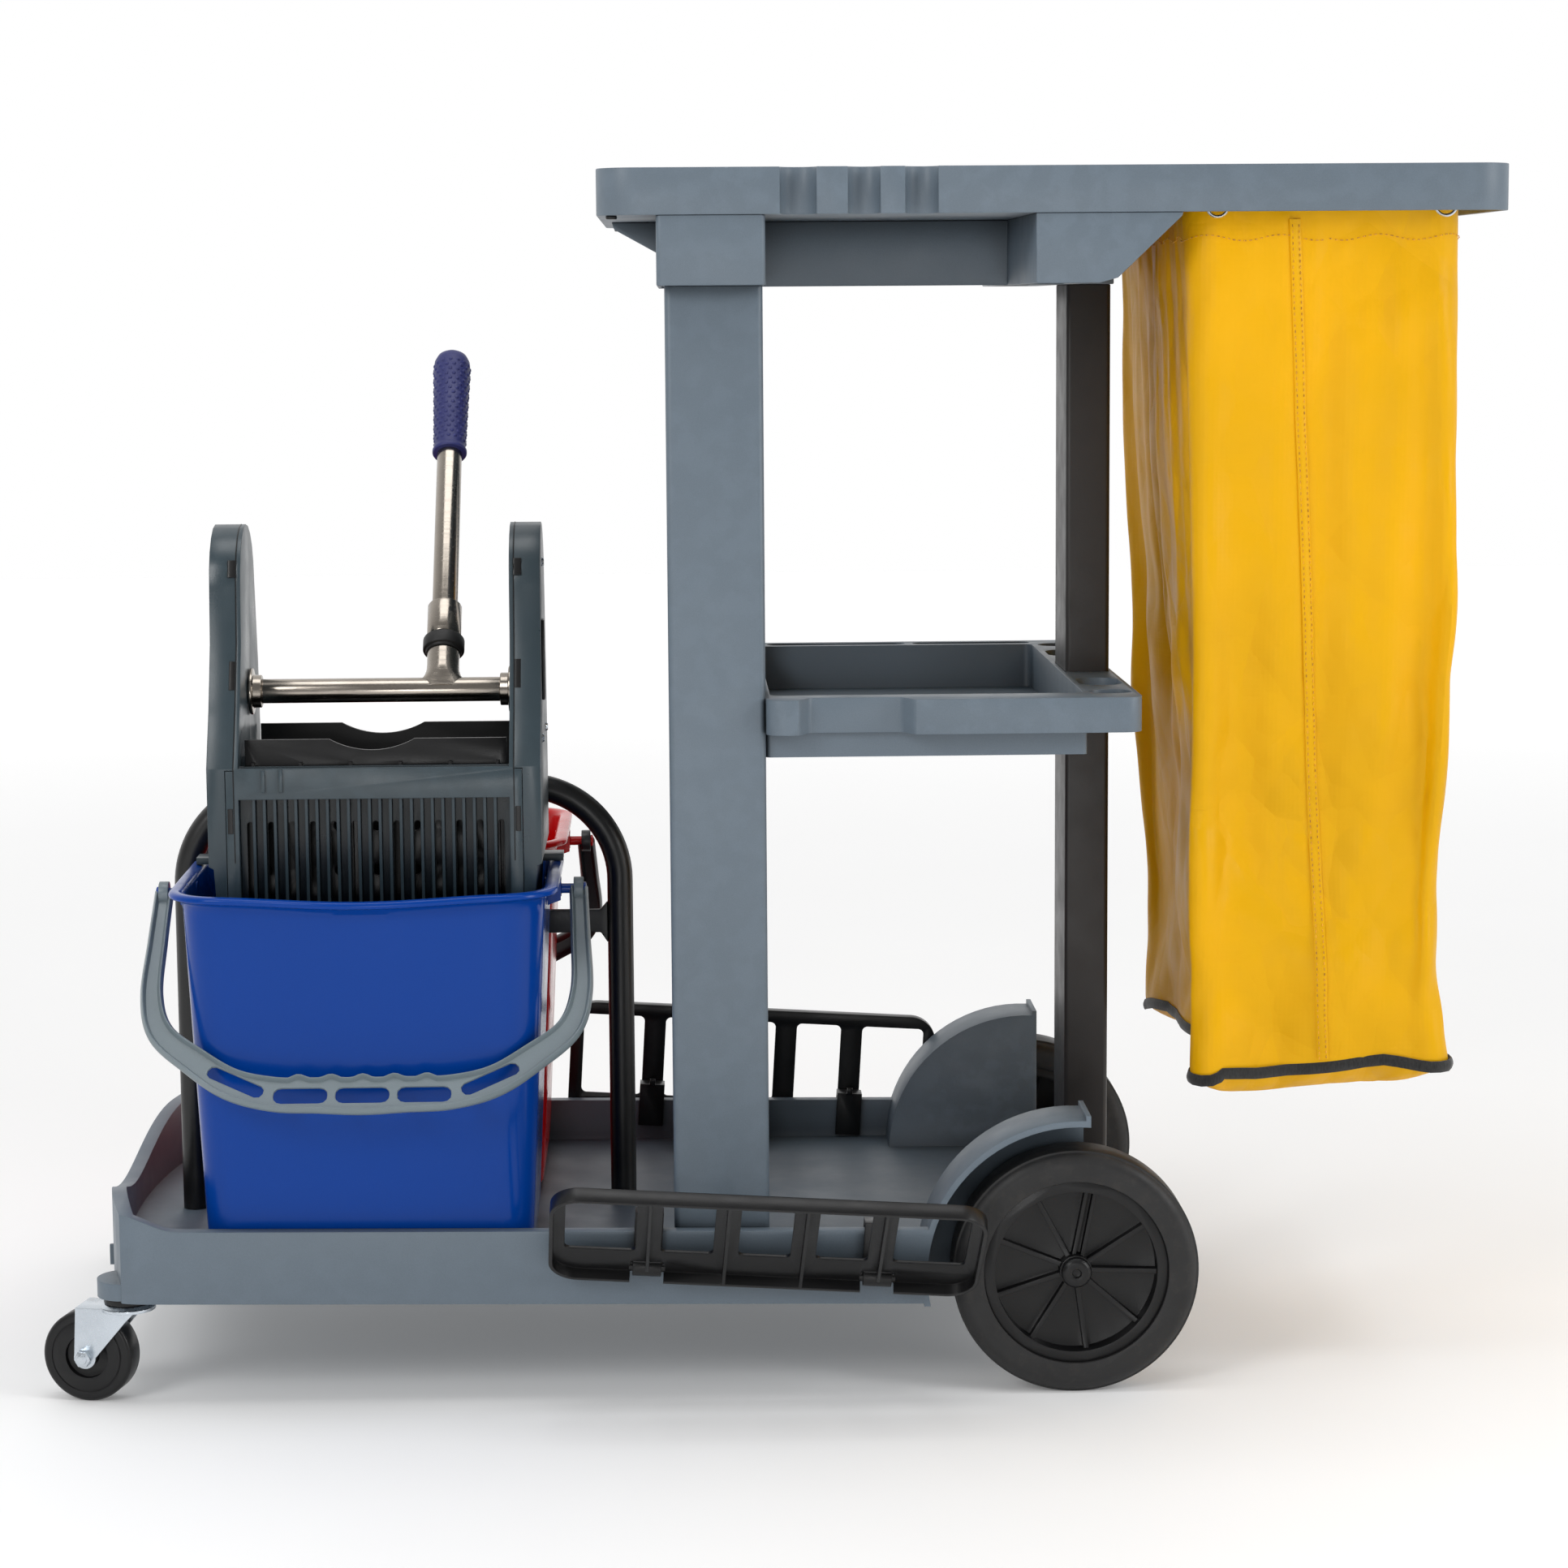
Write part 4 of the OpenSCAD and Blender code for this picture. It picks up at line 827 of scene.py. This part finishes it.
def build_bail(name, slot, body, bucket, facing):
    """Two rounded rails joined by a web, with finger bumps and slots in the grip."""
    low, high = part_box(bucket)
    rim_inner = high.y if facing > 0 else low.y
    pivot = Vector(((low.x + high.x) / 2, rim_inner - facing * (BUCKET_HALF[1] + RIM_GROW),
                    high.z - PIN_DROP))
    turn = Matrix(((1, 0, 0, 0), (0, -facing * math.sin(BAIL_HANG), facing * math.cos(BAIL_HANG), 0),
                   (0, -math.cos(BAIL_HANG), -math.sin(BAIL_HANG), 0), (0, 0, 0, 1)))
    place = Matrix.Translation(pivot) @ turn
    half = [(-170, 0, 5.5), (-172, 50, 6), (-173, 100, 7), (-163, 136, 8.6), (-134, 163, 10.2),
            (-104, 184, 11.6), (-70, 193.5, 12.8), (-35, 195, 13.4), (0, 196, 14.2)]
    centre = half + [(-x, y, w) for x, y, w in reversed(half[:-1])]
    line = smooth_line(centre, 10)

    def edge(sign):
        out = []
        for i, (x, y, w) in enumerate(line):
            a, b = line[max(i - 1, 0)], line[min(i + 1, len(line) - 1)]
            t = Vector((b[0] - a[0], b[1] - a[1])).normalized()
            n = Vector((t.y, -t.x)) * sign
            bump = 0.0
            if sign > 0 and abs(x) < 66:
                nearest = min((-51, -25.5, 0, 25.5, 51), key=lambda c: abs(c - x))
                bump = 3.4 * max(0.0, math.cos(math.pi * min(abs(x - nearest), 9) / 18)) ** 1.5
            out.append(((x + n.x * w) * MM, (y + n.y * (w + bump)) * MM))
        return out

    parts = []
    rails = edge(1), edge(-1)
    for rail in rails:
        path = [Vector((x, y, 0)) for x, y in rail]
        normal = [Vector((-t.y, t.x, 0)) for t in tangents_of(path)]
        parts.append(sweep(path, normal, [Vector((0, 0, 1))] * len(path), 0.0025, 0.0056, corner=0.42))
    holes = []
    for x in (-49, 0, 49):
        holes.append([(p[0] + x * MM, p[1] + 0.1955) for p in rounded_loop(0.0215, 0.0072, 0.0062, 28)])
    for side in (-1, 1):
        slope = Matrix.Rotation(math.radians(-side * 27), 2)
        loop = []
        for px, py in rounded_loop(0.0250, 0.0058, 0.0052, 28):
            q = slope @ Vector((px, py))
            loop.append((q.x + side * 0.1010, q.y + 0.1822))
        holes.append(loop)
    outline = list(rails[0]) + list(reversed(rails[1]))
    parts.append(plate([outline, *holes], 0.0022, 0.0004, Matrix.Identity(4)))
    for x in (-74, -24.7, 24.7, 74):
        y = 0.1955 if abs(x) < 50 else 0.1915
        parts.append(turned([(0, 3.4 * MM), (0.9 * MM, 3.2 * MM), (0.9 * MM, 2.4 * MM), (0.4 * MM, 2.2 * MM),
                             (0.4 * MM, 0)], Vector((x * MM, y, 0.0017)), Vector((0, 0, 1)), 20))
    for side in (-1, 1):
        ring = [(0.0095 * math.cos(a), 0.0095 * math.sin(a)) for a in (math.pi * k / 20 for k in range(40))]
        bore = [(0.0042 * math.cos(a), 0.0042 * math.sin(a)) for a in (math.pi * k / 12 for k in range(24))]
        lie = Matrix.Translation((side * 0.170, 0, 0)) @ Matrix.Rotation(math.pi / 2, 4, "Y")
        parts.append(plate([ring, bore], 0.0080, 0.0006, lie))
    verts, faces = joined(parts)
    verts = [place @ Vector(v) for v in verts]
    piece(name + "_moulding", verts, faces, slot, body, [name])


build_bucket("bucket_blue", "blue_plastic", "blue_bucket", 1)
build_bucket("bucket_red", "red_plastic", "red_bucket", -1)
build_bail("bail_blue", "bail_plastic", "blue_bail", "bucket_blue", 1)
build_bail("bail_red", "bail_dark", "red_bail", "bucket_red", -1)


# ---------- lever and wringer ----------

LEVER_LEAN = math.radians(40)


def build_grip():
    """Moulded rubber grip: collar, swelling body, round end, and rows of raised dots."""
    low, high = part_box("lever_grip")
    tube_low, tube_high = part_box("lever_tube")
    axis = Vector((0, math.sin(LEVER_LEAN), math.cos(LEVER_LEAN)))
    centre = (low + high) / 2
    mid = Vector((centre.x, (tube_low.y + tube_high.y) / 2, (tube_low.z + tube_high.z) / 2))
    along = (centre - mid).dot(axis)
    base = mid + axis * (along - 0.0545)
    profile = [(0, 10.9), (0, 14.2), (1, 14.8), (3, 14.8), (4.5, 13.8), (7, 13.5), (40, 14.3), (75, 15.3),
               (92, 15.9), (99, 15.3), (104, 13.2), (107.5, 9.2), (109, 4.0), (109.2, 0)]
    parts = [turned([(a * MM, r * MM) for a, r in profile], base, axis)]
    side = axis.orthogonal().normalized()
    other = axis.cross(side)
    radius = [(a, r) for a, r in profile if 7 <= a <= 99]
    for row in range(17):
        at = 11 + row * 5.1
        r = np.interp(at, [a for a, _ in radius], [b for _, b in radius]) * MM
        for k in range(15):
            a = 2 * math.pi * (k + (row % 2) / 2) / 15
            out = side * math.cos(a) + other * math.sin(a)
            p = base + axis * (at * MM) + out * (r - 0.0002)
            parts.append(turned([(0, 0.0017), (0.0006, 0.0014), (0.0009, 0.0007), (0.001, 0)], p, out, 8))
    verts, faces = joined(parts)
    piece("lever_grip_moulding", verts, faces, "navy_rubber", "lever", ["lever_grip"])


def build_socket():
    """The lever's tee, which flares into the cross shaft like a brazed joint."""
    axis = Vector((0, math.sin(LEVER_LEAN), math.cos(LEVER_LEAN)))
    front = axis.cross(X_AXIS)
    low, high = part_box("cross_shaft")
    socket_low, socket_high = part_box("lever_socket")
    centre = Vector(((socket_low.x + socket_high.x) / 2, (low.y + high.y) / 2, (low.z + high.z) / 2))
    shape = ((-2, 23.5, 11.0), (3, 22.5, 11.6), (6.5, 20, 12.0), (9, 17.4, 12.6), (12, 15.3, 13.2),
             (17, 13.8, 13.5), (22, 13.4, 13.4), (34.8, 13.4, 13.4), (35.8, 12.4, 12.4))
    angles = [2 * math.pi * k / 48 for k in range(48)]
    rings = [[centre + axis * (h * MM) + (X_AXIS * (rx * math.cos(a)) + front * (ry * math.sin(a))) * MM
              for a in angles] for h, rx, ry in shape]
    verts, faces = loft(rings)
    piece("lever_tee", verts, faces, "steel", "lever", ["lever_socket"])


def cheek_edge():
    """The cheek's front edge and arch, in Y and Z, from the bucket's rim to the back of the arch."""
    low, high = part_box("wringer_body")
    y0, top = low.y + 2 * MM, high.z
    points = [(y0, high.z - 0.265), (y0, top - 0.189), (y0 + 0.025, top - 0.143), (y0 + 0.045, top - 0.093)]
    for k in range(0, 11):
        a = math.radians(180 - 18 * k)
        points.append((y0 + 0.100 + 0.050 * math.cos(a), top - 0.048 + 0.048 * math.sin(a)))
    return points


def wringer_trim():
    """The parting line round each cheek, and the small windows along it, drawn as black plates that paint the
    shade inside those openings.
    """
    low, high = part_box("cross_shaft")
    centre_x = (low.x + high.x) / 2
    edge = cheek_edge()
    dense = []
    for (y0, z0), (y1, z1) in zip(edge, edge[1:]):
        steps = max(1, int(math.hypot(y1 - y0, z1 - z0) / 0.008))
        dense += [(y0 + (y1 - y0) * k / steps, z0 + (z1 - z0) * k / steps) for k in range(steps)]
    dense.append(edge[-1])
    parts = []
    for side in (-1, 1):
        path = [Vector((centre_x + side * 0.1117, y, z)) for y, z in dense]
        tangent = tangents_of(path)
        raised = [t.cross(X_AXIS) for t in tangent]
        parts.append(sweep(path, [X_AXIS] * len(path), raised, 0.0005, 0.0004, corner=0.4))
        # Painted shade: each window is drawn as a thin black plate standing in for the shade inside the
        # opening.
        for index, half_len, half_wide in ((4, 0.010, 0.0022), (18, 0.012, 0.0024), (27, 0.007, 0.0034)):
            p, t = path[index], tangent[index]
            out = t.cross(X_AXIS)
            if out.y > 0:
                out = -out
            box_path = [p + t * d + Vector((side * 0.003, 0, 0)) for d in (-half_len, half_len)]
            parts.append(sweep(box_path, [X_AXIS] * 2, [out] * 2, half_wide, 0.0004, corner=0.2))
    verts, faces = joined(parts)
    piece("wringer_parting_line_and_window_shade", verts, faces, "black_plastic", "wringer")


build_grip()
build_socket()
wringer_trim()


# ---------- stage, light, camera ----------

FLOOR_HALF = 9.0


def build_stage():
    mesh = bpy.data.meshes.new("floor")
    corners = [(x * FLOOR_HALF, y * FLOOR_HALF, 0) for x, y in ((-1, -1), (1, -1), (1, 1), (-1, 1))]
    mesh.from_pydata(corners, [], [(0, 1, 2, 3)])
    floor = bpy.data.objects.new("floor", mesh)
    scene.collection.objects.link(floor)
    mat, tree, bsdf = new_material("floor_paper")
    link(tree, mix_colour(tree, noise_node(tree, 3, 2), (0.86, 0.86, 0.86), (0.88, 0.88, 0.88)),
         bsdf.inputs["Base Color"])
    bsdf.inputs["Roughness"].default_value = 0.7
    where = tree.nodes.new("ShaderNodeTexCoord")
    far = tree.nodes.new("ShaderNodeVectorMath")
    far.operation = "LENGTH"
    link(tree, where.outputs["Object"], far.inputs[0])
    # Painted light: the floor glows white, at strength 0.10 within a metre of the middle rising to 0.42 five
    # metres out, so it fades into the white backdrop and throws a little light up onto the cart.
    bsdf.inputs["Emission Color"].default_value = (1, 1, 1, 1)
    link(tree, remap(tree, far.outputs["Value"], 0.10, 0.42, 1.0, 5.0), bsdf.inputs["Emission Strength"])
    mesh.materials.append(mat)
    world = bpy.data.worlds.new("studio")
    scene.world = world
    world.use_nodes = True
    tree = world.node_tree
    back = tree.nodes["Background"]
    back.inputs["Color"].default_value = (1.0, 1.0, 1.0, 1)
    where = tree.nodes.new("ShaderNodeTexCoord")
    parts = tree.nodes.new("ShaderNodeSeparateXYZ")
    link(tree, where.outputs["Generated"], parts.inputs["Vector"])
    link(tree, remap(tree, parts.outputs["Y"], 0.34, 1.0, -0.4, 0.6), back.inputs["Strength"])


def softbox(name, place, target, size, power):
    data = bpy.data.lights.new(name, "AREA")
    data.shape = "RECTANGLE"
    data.size, data.size_y = size
    data.energy = power
    obj = bpy.data.objects.new(name, data)
    scene.collection.objects.link(obj)
    obj.location = place
    obj.rotation_euler = (Vector(target) - Vector(place)).to_track_quat("-Z", "Y").to_euler()


def build_camera():
    data = bpy.data.cameras.new("camera")
    data.sensor_width = 36
    data.lens = 83.85
    camera = bpy.data.objects.new("camera", data)
    scene.collection.objects.link(camera)
    yaw, pitch, roll = math.radians(-1.73), math.radians(90 - 7.48), math.radians(-0.4)
    camera.matrix_world = (Matrix.Translation((-0.070, MID_Y - 3.114, 0.878)) @ Matrix.Rotation(yaw, 4, "Z")
                           @ Matrix.Rotation(pitch, 4, "X") @ Matrix.Rotation(roll, 4, "Z"))
    scene.camera = camera


build_stage()
softbox("key", (-2.2, -2.8, 2.4), (0, 0, 0.5), (1.3, 1.5), 42)
softbox("front", (-0.25, -3.6, 0.55), (-0.2, 0, 0.4), (0.8, 0.5), 9)
softbox("right", (2.9, -1.6, 1.5), (0.2, 0, 0.5), (1.0, 1.8), 34)
softbox("top", (0, -0.3, 2.9), (0, 0, 0.4), (2.4, 1.2), 26)
build_camera()
scene.view_settings.view_transform = "Standard"
